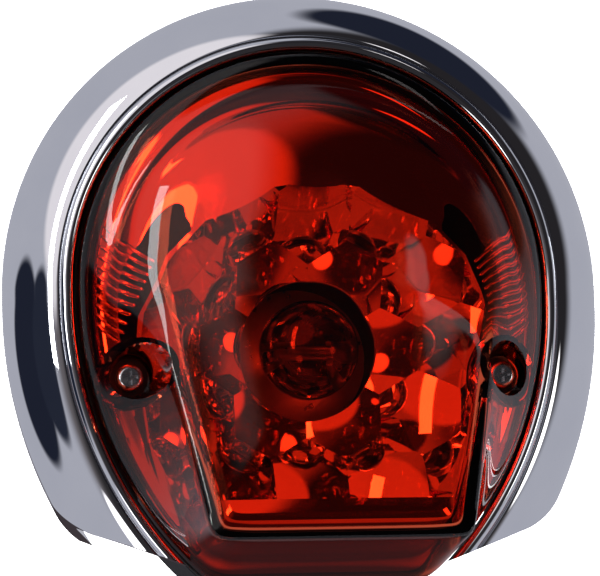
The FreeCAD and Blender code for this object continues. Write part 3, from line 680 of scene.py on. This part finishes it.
def closed_dome_mesh(points):
    """Points and faces of a dome: quads, and one fan of triangles at its middle."""
    loops, steps = points.shape[:2]
    body = points[:, :-1].reshape(-1, 3)
    quads = grid_faces(loops, steps - 1, close_rows=True)
    ring = np.arange(loops) * (steps - 1) + steps - 2
    fan = np.stack([ring, np.roll(ring, -1), np.full(loops, len(body))], -1)
    faces = quads[:, ::-1].tolist() + fan[:, ::-1].tolist()
    flat = np.vstack([body, points[0, -1]])
    return flat * np.array([1, -1, 1]), faces


def solid_from_dome(name, points):
    """A closed solid under a dome, shut at its rear by one flat face."""
    flat, faces = closed_dome_mesh(points)
    steps = points.shape[1] - 1
    faces.append((np.arange(points.shape[0]) * steps).tolist())
    return scratch_piece(name, flat, faces)


def scratch_piece(name, points, faces):
    """A mesh object for building only: it is removed once it has been used."""
    mesh = bpy.data.meshes.new(name)
    mesh.from_pydata(points.tolist(), [], faces)
    mesh.update()
    work = bmesh.new()
    work.from_mesh(mesh)
    bmesh.ops.remove_doubles(work, verts=work.verts, dist=MERGE_DISTANCE)
    bmesh.ops.recalc_face_normals(work, faces=work.faces)
    work.to_mesh(mesh)
    work.free()
    return add_object(name, mesh)


def combine(piece, other, how):
    """Joins, cuts or intersects piece with other, which is then removed."""
    step = piece.modifiers.new(how, "BOOLEAN")
    step.operation = how
    step.solver = "MANIFOLD"
    step.object = other
    bpy.context.view_layer.update()
    graph = bpy.context.evaluated_depsgraph_get()
    mesh = bpy.data.meshes.new_from_object(piece.evaluated_get(graph))
    piece.modifiers.remove(step)
    old = piece.data
    piece.data = mesh
    bpy.data.meshes.remove(old)
    bpy.data.meshes.remove(other.data)
    return piece


# %% [markdown]
# Round parts are turned on a lathe: a profile is carried once round a line along Y.


# %% Turned solids
def lathe_mesh(profile, centre_z, segments, centre_x=0.0):
    """Points and quads of a profile of (radius, forward) pairs turned about the Y line.

    A profile that starts and ends on the line is closed by the merging of its end points."""
    turn = np.arange(segments) / segments * 2 * math.pi
    radius, forward = np.array(profile).T
    x = centre_x + radius[None, :] * np.cos(turn)[:, None]
    z = centre_z + radius[None, :] * np.sin(turn)[:, None]
    y = np.broadcast_to(-forward, x.shape)
    points = np.stack([x, y, z], -1).reshape(-1, 3)
    return points, grid_faces(segments, len(radius), close_rows=True).tolist()


def lathe_solid(name, profile, centre_z, segments, centre_x=0.0):
    """A scratch piece turned on a lathe."""
    points, faces = lathe_mesh(profile, centre_z, segments, centre_x)
    return scratch_piece(name, points, faces)


def finish_piece(piece, name, body, slot, nodes, sharp_degrees=28.0):
    """Turns a scratch piece into a piece of the lamp: named, smooth, riding and dressed."""
    piece.name = name
    piece.data.name = name
    work = bmesh.new()
    work.from_mesh(piece.data)
    bmesh.ops.remove_doubles(work, verts=work.verts, dist=MERGE_DISTANCE)
    bmesh.ops.dissolve_degenerate(work, edges=work.edges, dist=MERGE_DISTANCE / 2)
    work.to_mesh(piece.data)
    work.free()
    piece.data.shade_smooth()
    piece.data.set_sharp_from_angle(angle=math.radians(sharp_degrees))
    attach(piece, body)
    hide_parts(*nodes)
    piece.data.materials.clear()
    dress(piece, slot)
    return piece


# %% [markdown]
# Now the lens can be put together from its two domes and the pockets. The centres of the
# screws are read from the CAD, so that each pocket stands round its own screw.


# %% Make the lens
screws_low, screws_high = (np.array(c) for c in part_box("lens_screws"))
SCREW_HEAD_RADIUS = 3.5 * MM
SCREW_X = (screws_high[0] - screws_low[0]) / 2 - SCREW_HEAD_RADIUS
SCREW_Z = (screws_high[2] + screws_low[2]) / 2
POCKET_REAR = 37.0 * MM
POCKET_RADIUS = 5.0 * MM
POCKET_FLARE = 0.14
POCKET_LENGTH = 24.0 * MM
SCREW_HOLE = 2.3 * MM
SCREW_HOLE_REAR = 30.0 * MM
SCREW_HOLE_FRONT = 50.0 * MM


def pocket_cone(side, grow, start):
    """A flared pocket round a lens screw, grown by a wall thickness."""
    far = POCKET_RADIUS + POCKET_FLARE * POCKET_LENGTH
    end = POCKET_REAR + LENS_WALL + POCKET_LENGTH
    profile = [(0, start), (POCKET_RADIUS + grow, start), (far + grow, end), (0, end)]
    return lathe_solid("pocket", profile, SCREW_Z, 96, side * SCREW_X)


def plug(name, radius, rear, front, segments, centre_z, centre_x=0.0):
    """A round rod along Y, for cutting holes."""
    profile = [(0, rear), (radius, rear), (radius, front), (0, front)]
    return lathe_solid(name, profile, centre_z, segments, centre_x)


def lens():
    """The outer dome less the inner one, with a pocket and a hole for each screw."""
    shell = solid_from_dome("outer", outer_dome)
    inner_dome = dome(LENS_WALL, 2.0 * MM, LENS_REAR - MM, (4, 22, 28), LENS_CROWN)
    hollow = solid_from_dome("inner", inner_dome)
    for side in (-1, 1):
        hollow = combine(hollow, pocket_cone(side, LENS_WALL, POCKET_REAR), "DIFFERENCE")
    shell = combine(shell, hollow, "DIFFERENCE")
    for side in (-1, 1):
        shell = combine(shell, pocket_cone(side, 0, POCKET_REAR + LENS_WALL), "DIFFERENCE")
        hole = plug("hole", SCREW_HOLE, SCREW_HOLE_REAR, SCREW_HOLE_FRONT, 48, SCREW_Z, side * SCREW_X)
        shell = combine(shell, hole, "DIFFERENCE")
    return finish_piece(shell, "lens_dome", "lens_cover", "red_lens", ["lens"])


lens_piece = lens()
print("lens", len(lens_piece.data.polygons), "faces")
print("screws at mm", round(SCREW_X / MM, 2), round(SCREW_Z / MM, 2))

# %% [markdown]
# ## Reflector
#
# The mirror behind the lens follows the lens at a small distance, and a bowl with a
# honeycomb of pillows is sunk into it. The bowl is a paraboloid. Cut a paraboloid by its own
# tangent planes at the points of a regular lattice, and the planes meet exactly above the
# honeycomb of that lattice. So the floor of the bowl is one short formula, with every
# facet a regular hexagon from the front, and all edges straight and crisp. Each facet is
# then bulged a little. The bowl is cut from the solid mirror block by a boolean, and that
# gives its jagged upper rim for nothing.

# %% Lattice of the honeycomb
REFLECTOR_INSET = LENS_OFFSET + LIP_RADIUS - reflector_high[0]
REFLECTOR_REAR = -reflector_high[1]
REFLECTOR_WALL = 2.0 * MM
BULB_Z = (glass_low[2] + glass_high[2]) / 2
BOWL_Z = -28.0 * MM
BOWL_BOTTOM = 22.0 * MM
BOWL_FOCAL = (54.0 * MM) ** 2 / (2 * 30.0 * MM)
BOWL_FLOOR_Z = -60.0 * MM
CELL_EDGE = 11.27 * MM
CELL_BULGE = 18.5 * MM
BULGE_RISE = 1.8 * MM
LATTICE_REACH = 72.0 * MM
CUTTER_FAR = 0.3


def bowl_forward(x, z):
    """The smooth bowl: a paraboloid about the line (0, BOWL_Z)."""
    return BOWL_BOTTOM + (x**2 + (z - BOWL_Z) ** 2) / (2 * BOWL_FOCAL)


def cell_centres():
    """Centres of a pointed-top hexagon lattice through the bulb's line."""
    pitch = CELL_EDGE * math.sqrt(3)
    rows = np.arange(-3, 5)
    columns = np.arange(-5, 6)
    row, column = np.meshgrid(rows, columns, indexing="ij")
    x = (column + 0.5 * (row % 2)) * pitch
    z = BULB_Z + row * CELL_EDGE * 1.5
    near = np.hypot(x, z - BOWL_Z) < LATTICE_REACH
    return np.stack([x[near], z[near]], -1)


def hexagon_grid(rings):
    """Points of one hexagon of unit edge, ring by ring from its centre outwards."""
    corner = math.pi / 2 + np.arange(7) * math.pi / 3
    corners = np.stack([np.cos(corner), np.sin(corner)], -1)
    points = [np.zeros((1, 2))]
    for ring in range(1, rings + 1):
        share = np.arange(ring)[None, :, None] / ring
        edge = (1 - share) * corners[:-1, None, :] + share * corners[1:, None, :]
        points.append(edge.reshape(-1, 2) * ring / rings)
    return np.vstack(points)


def ring_start(ring):
    """Index of a ring's first point: the centre and all smaller rings come before it."""
    return 1 + 3 * ring * (ring - 1) if ring else 0


def hexagon_faces(rings):
    """Triangles between neighbouring rings of hexagon_grid."""
    faces = []
    for ring in range(1, rings + 1):
        outer, inner = 6 * ring, max(6 * (ring - 1), 1)
        for side in range(6):
            for step in range(ring):
                a = ring_start(ring) + (side * ring + step) % outer
                b = ring_start(ring) + (side * ring + step + 1) % outer
                c = ring_start(ring - 1) + (side * (ring - 1) + step) % inner
                faces.append([a, b, c])
                if step < ring - 1:
                    d = ring_start(ring - 1) + (side * (ring - 1) + step + 1) % inner
                    faces.append([b, d, c])
    return np.array(faces)


print("honeycomb", len(cell_centres()), "cells,", len(hexagon_faces(10)), "triangles in each")

# %% [markdown]
# The cutter is the space in front of the bowl. Its floor is the whole honeycomb, and its
# rim is pulled far forwards and closed there, which makes it a solid. A level cut at the
# bowl's foot leaves the mirror a flat shelf below the cells.


# %% Cutter for the bowl
def honeycomb_cutter(rings, far):
    """The space in front of the bowl: honeycomb floor, straight sides, flat far end.

    Over a cell's own centre c the floor is the paraboloid's height at each point plus
    BULGE_RISE - |p - c|^2 / (2 CELL_BULGE), which makes each facet a low pillow."""
    cell = hexagon_grid(rings) * CELL_EDGE
    centres = cell_centres()
    spots = centres[:, None, :] + cell[None, :, :]
    x, z = spots[..., 0], spots[..., 1]
    bulge = BULGE_RISE - (cell**2).sum(1)[None, :] / (2 * CELL_BULGE)
    forward = bowl_forward(x, z) + bulge
    points = np.stack([x, -forward, z], -1).reshape(-1, 3)
    own = hexagon_faces(rings)
    starts = np.arange(len(centres)) * len(cell)
    faces = (own[None, :, :] + starts[:, None, None]).reshape(-1, 3)
    cutter = scratch_piece("cutter", points, faces.tolist())
    work = bmesh.new()
    work.from_mesh(cutter.data)
    rim = [edge for edge in work.edges if edge.is_boundary]
    walls = bmesh.ops.extrude_edge_only(work, edges=rim)["geom"]
    raised = [item for item in walls if isinstance(item, bmesh.types.BMVert)]
    for vert in raised:
        vert.co.y = -far
    bmesh.ops.holes_fill(work, edges=[e for e in work.edges if e.is_boundary], sides=0)
    bmesh.ops.recalc_face_normals(work, faces=work.faces)
    work.to_mesh(cutter.data)
    work.free()
    return cutter


def slab(low, high):
    """A closed box between two corners."""
    grid = np.array([[x, y, z] for x in (0, 1) for y in (0, 1) for z in (0, 1)])
    faces = [[0, 1, 3, 2], [4, 6, 7, 5], [0, 4, 5, 1], [2, 3, 7, 6], [0, 2, 6, 4], [1, 5, 7, 3]]
    return scratch_piece("slab", np.array(low) + grid * (np.array(high) - np.array(low)), faces)


def bowl_cutter(rings, drop):
    """The honeycomb cutter, moved back by drop and cut off flat at the bowl's foot."""
    cutter = honeycomb_cutter(rings, CUTTER_FAR)
    cutter.data.transform(Matrix.Translation((0, drop, 0)))
    keep = slab((-0.2, -0.25, BOWL_FLOOR_Z - drop), (0.2, 0.1, 0.2))
    return combine(cutter, keep, "INTERSECT")


# %% [markdown]
# The mirror block is made like the lens, from an outer and an inner dome, so that it has a
# back of its own. The bowl is cut with fine cells at the front and coarse ones behind,
# where nobody looks. Then come the hole for the bulb, and room for the screws' pillars.

# %% Make the reflector
BULB_HOLE_RADIUS = 18.3 * MM
BULB_HOLE_FRONT = 40.0 * MM
BARREL_DROP = 5.0 * MM
PILLAR_ROOM = 5.4 * MM
POCKET_ROOM = 0.4 * MM


def barrel(points):
    """Bends the mirror's front back towards its sides, in proportion to x squared."""
    share = ease(points[..., 1], COLLAR_FORWARD - 2 * MM, FACE_TOP_FORWARD)
    curved = points.copy()
    curved[..., 1] -= share * BARREL_DROP * (points[..., 0] / FACE_TOP_HALF) ** 2
    return curved


mirror_front = barrel(dome(REFLECTOR_INSET, 2.0 * MM, REFLECTOR_REAR, (4, 26, 30), 0.0))


def reflector():
    """The mirror block, hollow behind, with its bowl, its bulb hole and room for screws."""
    block = solid_from_dome("block", mirror_front)
    inset = REFLECTOR_INSET + REFLECTOR_WALL
    inner_dome = dome(inset, 2.0 * MM, REFLECTOR_REAR - MM, (4, 16, 16), 0.0)
    hollow = solid_from_dome("hollow", inner_dome)
    hollow = combine(hollow, bowl_cutter(4, REFLECTOR_WALL), "DIFFERENCE")
    block = combine(block, bowl_cutter(10, 0.0), "DIFFERENCE")
    block = combine(block, hollow, "DIFFERENCE")
    bore = plug("bore", BULB_HOLE_RADIUS, 0, BULB_HOLE_FRONT, 128, BULB_Z)
    block = combine(block, bore, "DIFFERENCE")
    for side in (-1, 1):
        room = plug("pillar", PILLAR_ROOM, 0, COLLAR_FORWARD, 64, SCREW_Z, side * SCREW_X)
        block = combine(block, room, "DIFFERENCE")
        room = pocket_cone(side, LENS_WALL + POCKET_ROOM, POCKET_REAR - 2 * POCKET_ROOM)
        block = combine(block, room, "DIFFERENCE")
    return finish_piece(block, "honeycomb_mirror", "housing", "mirror_coat", ["reflector"], 12.0)


mirror_piece = reflector()
print("reflector", len(mirror_piece.data.polygons), "faces")

# %% [markdown]
# ## Ribs
#
# Low on each side of the mirror, between its edge and the crease, runs a short ladder of
# slanting half-round ribs that spread the light sideways. Each rib is a thin tapering tube
# laid on the mirror's own surface: its path is a straight line across the grid of profiles,
# and the grid turns that into a line on the dome.

# %% Make the ribs
RIB_COUNT = 11
RIB_RADIUS = 0.62 * MM
RIB_TOP_Z = 14.0 * MM
RIB_PITCH = 2.55 * MM
RIB_SLANT = 6.0 * MM
RIB_FIRST_STEP = 7.0
RIB_LAST_STEP = 26.0
RIB_SHORTER_BY = 12.0
RIB_POINTS = 30
RIB_SIDES = 12
EDGE_STEP = 6
SIDE_X_OVER = 30.0 * MM
SIDE_Z_WITHIN = 40.0 * MM


def surface_path(points, side, start_z, end_z, start_step, end_step, count):
    """A line over a dome's grid from one profile and step to another, as (count, 3) points.

    The heights are looked up on the dome's edge to find the profiles. Between the grid's
    points the surface is blended in both directions."""
    edge = points[:, EDGE_STEP, :]
    beside = (edge[:, 0] * side > SIDE_X_OVER) & (np.abs(edge[:, 2]) < SIDE_Z_WITHIN)
    rows = np.nonzero(beside)[0]
    order = rows[np.argsort(edge[rows, 2])]
    first, last = np.interp([start_z, end_z], edge[order, 2], order)
    row = np.linspace(first, last, count)
    step = np.linspace(start_step, end_step, count)
    r, c = row.astype(int), step.astype(int)
    u, v = (row - r)[:, None], (step - c)[:, None]
    low = points[r, c] * (1 - v) + points[r, c + 1] * v
    high = points[r + 1, c] * (1 - v) + points[r + 1, c + 1] * v
    return low * (1 - u) + high * u


def unit(vectors):
    """The vectors, each divided by its own length."""
    return vectors / np.linalg.norm(vectors, axis=-1, keepdims=True)


def tapered_tube(path, radius, sides):
    """Points round a path. At a share s from -1 to 1 the radius is radius sqrt(1 - s^8),
    which stays full for most of the way and closes in a blunt round end."""
    along = np.gradient(path, axis=0)
    across = unit(np.cross(along, np.array([0.0, 1.0, 0.0])))
    up = unit(np.cross(across, along))
    share = np.linspace(-1, 1, len(path))
    swell = radius * np.sqrt(np.clip(1 - share**8, 0, 1))
    turn = np.arange(sides) / sides * 2 * math.pi
    cosine, sine = np.cos(turn)[None, :, None], np.sin(turn)[None, :, None]
    ring = cosine * across[:, None, :] + sine * up[:, None, :]
    return path[:, None, :] + ring * swell[:, None, None]


def mirror_ribs():
    """All ribs of both sides as one piece, each a little shorter than the one above."""
    points, faces = [], []
    for side in (-1, 1):
        for number in range(RIB_COUNT):
            start_z = RIB_TOP_Z - number * RIB_PITCH
            end_z = start_z - RIB_SLANT
            reach = RIB_LAST_STEP - RIB_SHORTER_BY * number / RIB_COUNT
            path = surface_path(
                mirror_front, side, start_z, end_z, RIB_FIRST_STEP, reach, RIB_POINTS
            )
            tube = tapered_tube(path * np.array([1, -1, 1]), RIB_RADIUS, RIB_SIDES)
            start = RIB_POINTS * RIB_SIDES * len(points)
            faces.append(grid_faces(RIB_POINTS, RIB_SIDES, close_columns=True, start=start))
            points.append(tube.reshape(-1, 3))
    piece = scratch_piece("ribs", np.vstack(points), np.vstack(faces).tolist())
    return finish_piece(piece, "mirror_ribs", "housing", "mirror_coat", ["reflector"], 60.0)


ribs_piece = mirror_ribs()
print("ribs", len(ribs_piece.data.polygons), "faces")

# %% [markdown]
# ## Bulb
#
# The glass of the bulb is turned on a lathe: a ball that runs into a narrower neck. It has
# an inner wall too, so that it shows two fine outlines and not one thick lump of glass.

# %% Make the bulb's glass
GLASS_WALL = 0.8 * MM
GLASS_RADIUS = (glass_high[0] - glass_low[0]) / 2
GLASS_CENTRE = -glass_low[1] - GLASS_RADIUS
GLASS_REAR = -glass_high[1]
GLASS_NECK = 7.0 * MM
THROAT_START = 3.0 * MM
BALL_START = -0.95


def glass_profile(inset, steps):
    """(radius, forward) from the neck's rear end over a soft throat to the ball's tip."""
    radius = GLASS_RADIUS - inset
    neck = GLASS_NECK - inset
    turn = np.linspace(BALL_START, math.pi / 2, steps)
    ball = np.stack([radius * np.cos(turn), GLASS_CENTRE + radius * np.sin(turn)], -1)
    rise = np.linspace(0, 1, steps // 2)
    start = np.array([neck, GLASS_REAR + THROAT_START])
    throat = start + np.stack([ease(rise, 0, 1), rise], -1) * (ball[0] - start)
    rear = np.array([[neck, GLASS_REAR]])
    return np.vstack([rear, throat[:-1], ball])


def bulb_glass():
    """The outer profile and the inner one run backwards, turned as one closed line."""
    outer = glass_profile(0.0, 48)
    inner = glass_profile(GLASS_WALL, 40)
    profile = np.vstack([outer, inner[::-1]])
    piece = lathe_solid("glass", profile, BULB_Z, 128)
    return finish_piece(piece, "bulb_ball", "bulb", "clear_glass", ["bulb_glass"], 40.0)


bulb_glass()
print("glass radius mm", round(GLASS_RADIUS / MM, 2))
print("its centre is forward by mm", round(GLASS_CENTRE / MM, 2))

# %% [markdown]
# ## Floor
#
# The lamp floats above a pale floor that bends up into a pale wall all round, so the
# background is even from every side. Only the camera and the lights meet it: the lamp's
# mirrors and clear parts look through it to the sky, which the next step makes.

# %% Floor
FLOOR_Z = -0.42
FLOOR_RADIUS = 1.2
BEND_RADIUS = 0.8
WALL_TOP = 5.4
PIN_HOLE = 0.01


def floor():
    """A wide dish: a flat round floor that bends up into a round wall.

    One line, flat then a quarter circle then upright, is turned about the lamp: a point at
    radius r and turn t stands at (r cos t, r sin t, z)."""
    bend = np.linspace(0, math.pi / 2, 24)
    wall = FLOOR_RADIUS + BEND_RADIUS
    bent_radius = FLOOR_RADIUS + BEND_RADIUS * np.sin(bend)
    bent_height = BEND_RADIUS - BEND_RADIUS * np.cos(bend)
    radius = np.concatenate([[PIN_HOLE, FLOOR_RADIUS / 2], bent_radius, [wall]])
    height = np.concatenate([[0, 0], bent_height, [WALL_TOP]]) + FLOOR_Z
    turn = np.linspace(0, 2 * math.pi, 96, endpoint=False)[:, None]
    points = np.stack([radius * np.cos(turn), radius * np.sin(turn), height + 0 * turn], -1)
    faces = grid_faces(len(turn), len(radius), close_rows=True)
    mesh = bpy.data.meshes.new("floor")
    mesh.from_pydata(points.reshape(-1, 3).tolist(), [], faces.tolist())
    mesh.shade_smooth()
    piece = add_object("floor", mesh)
    paper = moulded("floor_paper", (0.74, 0.74, 0.75), (0.78, 0.78, 0.79), 0.8, 0.9, 6.0, 0.0)
    piece.data.materials.append(paper)
    piece.visible_glossy = False
    piece.visible_transmission = False
    piece.visible_diffuse = False
    return piece


floor_piece = floor()
print("floor", len(floor_piece.data.polygons), "faces")

# %% [markdown]
# ## Sky and light
#
# Chrome is lit by what it mirrors, so the sky is a plain grey with round patches: bright
# windows give the pale bands, and dark cards between them give the deep patches that make
# it look like metal. A patch needs only one dot product, and its edge can be as soft as
# wanted. Three soft lights that no mirror sees brighten the wall and the plain parts, and
# a narrow one gives the lens its long highlight.


# %% Sky and light
SKY_COLOUR = (0.47, 0.475, 0.53)


def panel(name, place, aim, width, height, power):
    """A soft rectangular light at a place, facing a point."""
    data = bpy.data.lights.new(name, "AREA")
    data.shape = "RECTANGLE"
    data.size = width
    data.size_y = height
    data.energy = power
    light = add_object(name, data)
    light.location = place
    direction = Vector(aim) - Vector(place)
    light.rotation_euler = direction.to_track_quat("-Z", "Y").to_euler()
    return light


def patch(tree, aim, inner, outer):
    """1 inside a round patch of sky about a direction, 0 outside it, with a soft edge.

    The angle is measured by the dot product of the view direction with the aim."""
    where = tree.nodes.new("ShaderNodeTexCoord")
    dot = tree.nodes.new("ShaderNodeVectorMath")
    dot.operation = "DOT_PRODUCT"
    direction = Vector(aim).normalized()
    dot.inputs[1].default_value = direction
    tree.links.new(where.outputs["Generated"], dot.inputs[0])
    spread = tree.nodes.new("ShaderNodeMapRange")
    spread.interpolation_type = "SMOOTHSTEP"
    spread.inputs["From Min"].default_value = math.cos(math.radians(outer))
    spread.inputs["From Max"].default_value = math.cos(math.radians(inner))
    tree.links.new(dot.outputs["Value"], spread.inputs["Value"])
    return spread.outputs["Result"]


def lay_over(tree, below, mask, colour):
    """Lays a colour over what is below where the mask is 1. None below is the plain sky."""
    mix = tree.nodes.new("ShaderNodeMix")
    mix.data_type = "RGBA"
    mix.inputs["A"].default_value = (*SKY_COLOUR, 1)
    mix.inputs["B"].default_value = (*colour, 1)
    tree.links.new(mask, mix.inputs["Factor"])
    if below is not None:
        tree.links.new(below, mix.inputs["A"])
    return mix.outputs["Result"]


# name, direction, degrees to the edge of its full tone, degrees to its outer end, colour
SKY_PATCHES = [
    ("front, dim", (0.05, -1.0, -0.05), 34, 54, (0.15, 0.135, 0.14)),
    ("behind and below, dark", (0.0, 0.85, -0.40), 18, 34, (0.05, 0.04, 0.045)),
    ("front right, dark", (0.62, -0.78, 0.46), 30, 46, (0.022, 0.02, 0.022)),
    ("front low, dark", (0.05, -0.90, -0.45), 26, 42, (0.03, 0.028, 0.03)),
    ("front left, bright panel", (-0.52, -0.80, 0.72), 28, 33, (0.92, 0.87, 0.89)),
    ("panel's dark bar", (0.22, -0.80, 0.62), 4, 8, (0.03, 0.03, 0.035)),
    ("bright bar beside it", (0.36, -0.80, 0.60), 2.5, 4, (1.6, 1.5, 1.5)),
    ("right, bright window", (0.85, -0.75, -0.10), 6, 9, (3.2, 3.1, 3.0)),
    ("low left, bright window", (-0.55, -0.80, -0.45), 6, 9, (3.0, 2.9, 2.9)),
    ("far left, dark card", (-1.0, -0.12, -0.04), 16, 19, (0.015, 0.018, 0.032)),
    ("left, dark card", (-0.88, -0.48, -0.02), 12, 15, (0.02, 0.024, 0.04)),
    ("top right, dark card", (0.52, 0.02, 0.85), 19, 25, (0.015, 0.018, 0.032)),
]


def studio_sky():
    """A world whose background is all patches laid over each other in turn."""
    world = bpy.data.worlds.new("studio")
    bpy.context.scene.world = world
    world.use_nodes = True
    tree = world.node_tree
    background = tree.nodes["Background"]
    colour = None
    for _, aim, inner, outer, tone in SKY_PATCHES:
        colour = lay_over(tree, colour, patch(tree, aim, inner, outer), tone)
    tree.links.new(colour, background.inputs["Color"])
    background.inputs["Strength"].default_value = 1.0


studio_sky()
LAMP_CENTRE = (0, -0.03, -0.01)
WALL_CENTRE = (0, 2.0, 0.25)
washes = [
    panel("left_panel", (-0.9, -0.9, 0.9), LAMP_CENTRE, 0.9, 1.1, 6),
    panel("right_panel", (1.1, -0.3, 0.5), LAMP_CENTRE, 0.5, 1.4, 3),
    panel("wall_wash", (0.0, 0.9, 0.3), WALL_CENTRE, 2.0, 1.2, 75),
]
for light in washes:
    light.visible_glossy = False
    light.visible_transmission = False
panel("crease_strip", (-0.70, -0.68, 0.42), LAMP_CENTRE, 0.16, 1.0, 5.5)
print(len(washes) + 1, "lights and", len(SKY_PATCHES), "patches of sky")

# %% [markdown]
# ## Light paths
#
# A ray that reaches the mirror goes through both faces of the lens on its way in and again
# on its way out, and often bounces between facets, so it is allowed many turns.

# %% Light paths
bpy.context.scene.view_settings.view_transform = "Standard"
bpy.context.scene.cycles.max_bounces = 16
bpy.context.scene.cycles.transmission_bounces = 14
bpy.context.scene.cycles.glossy_bounces = 8
bpy.context.scene.cycles.sample_clamp_indirect = 6.0

# %% [markdown]
# ## Update
#
# The finished pieces must stay inside the box of the CAD model. Here the scene is only brought up to
# date.

# %% Update the scene
bpy.context.view_layer.update()
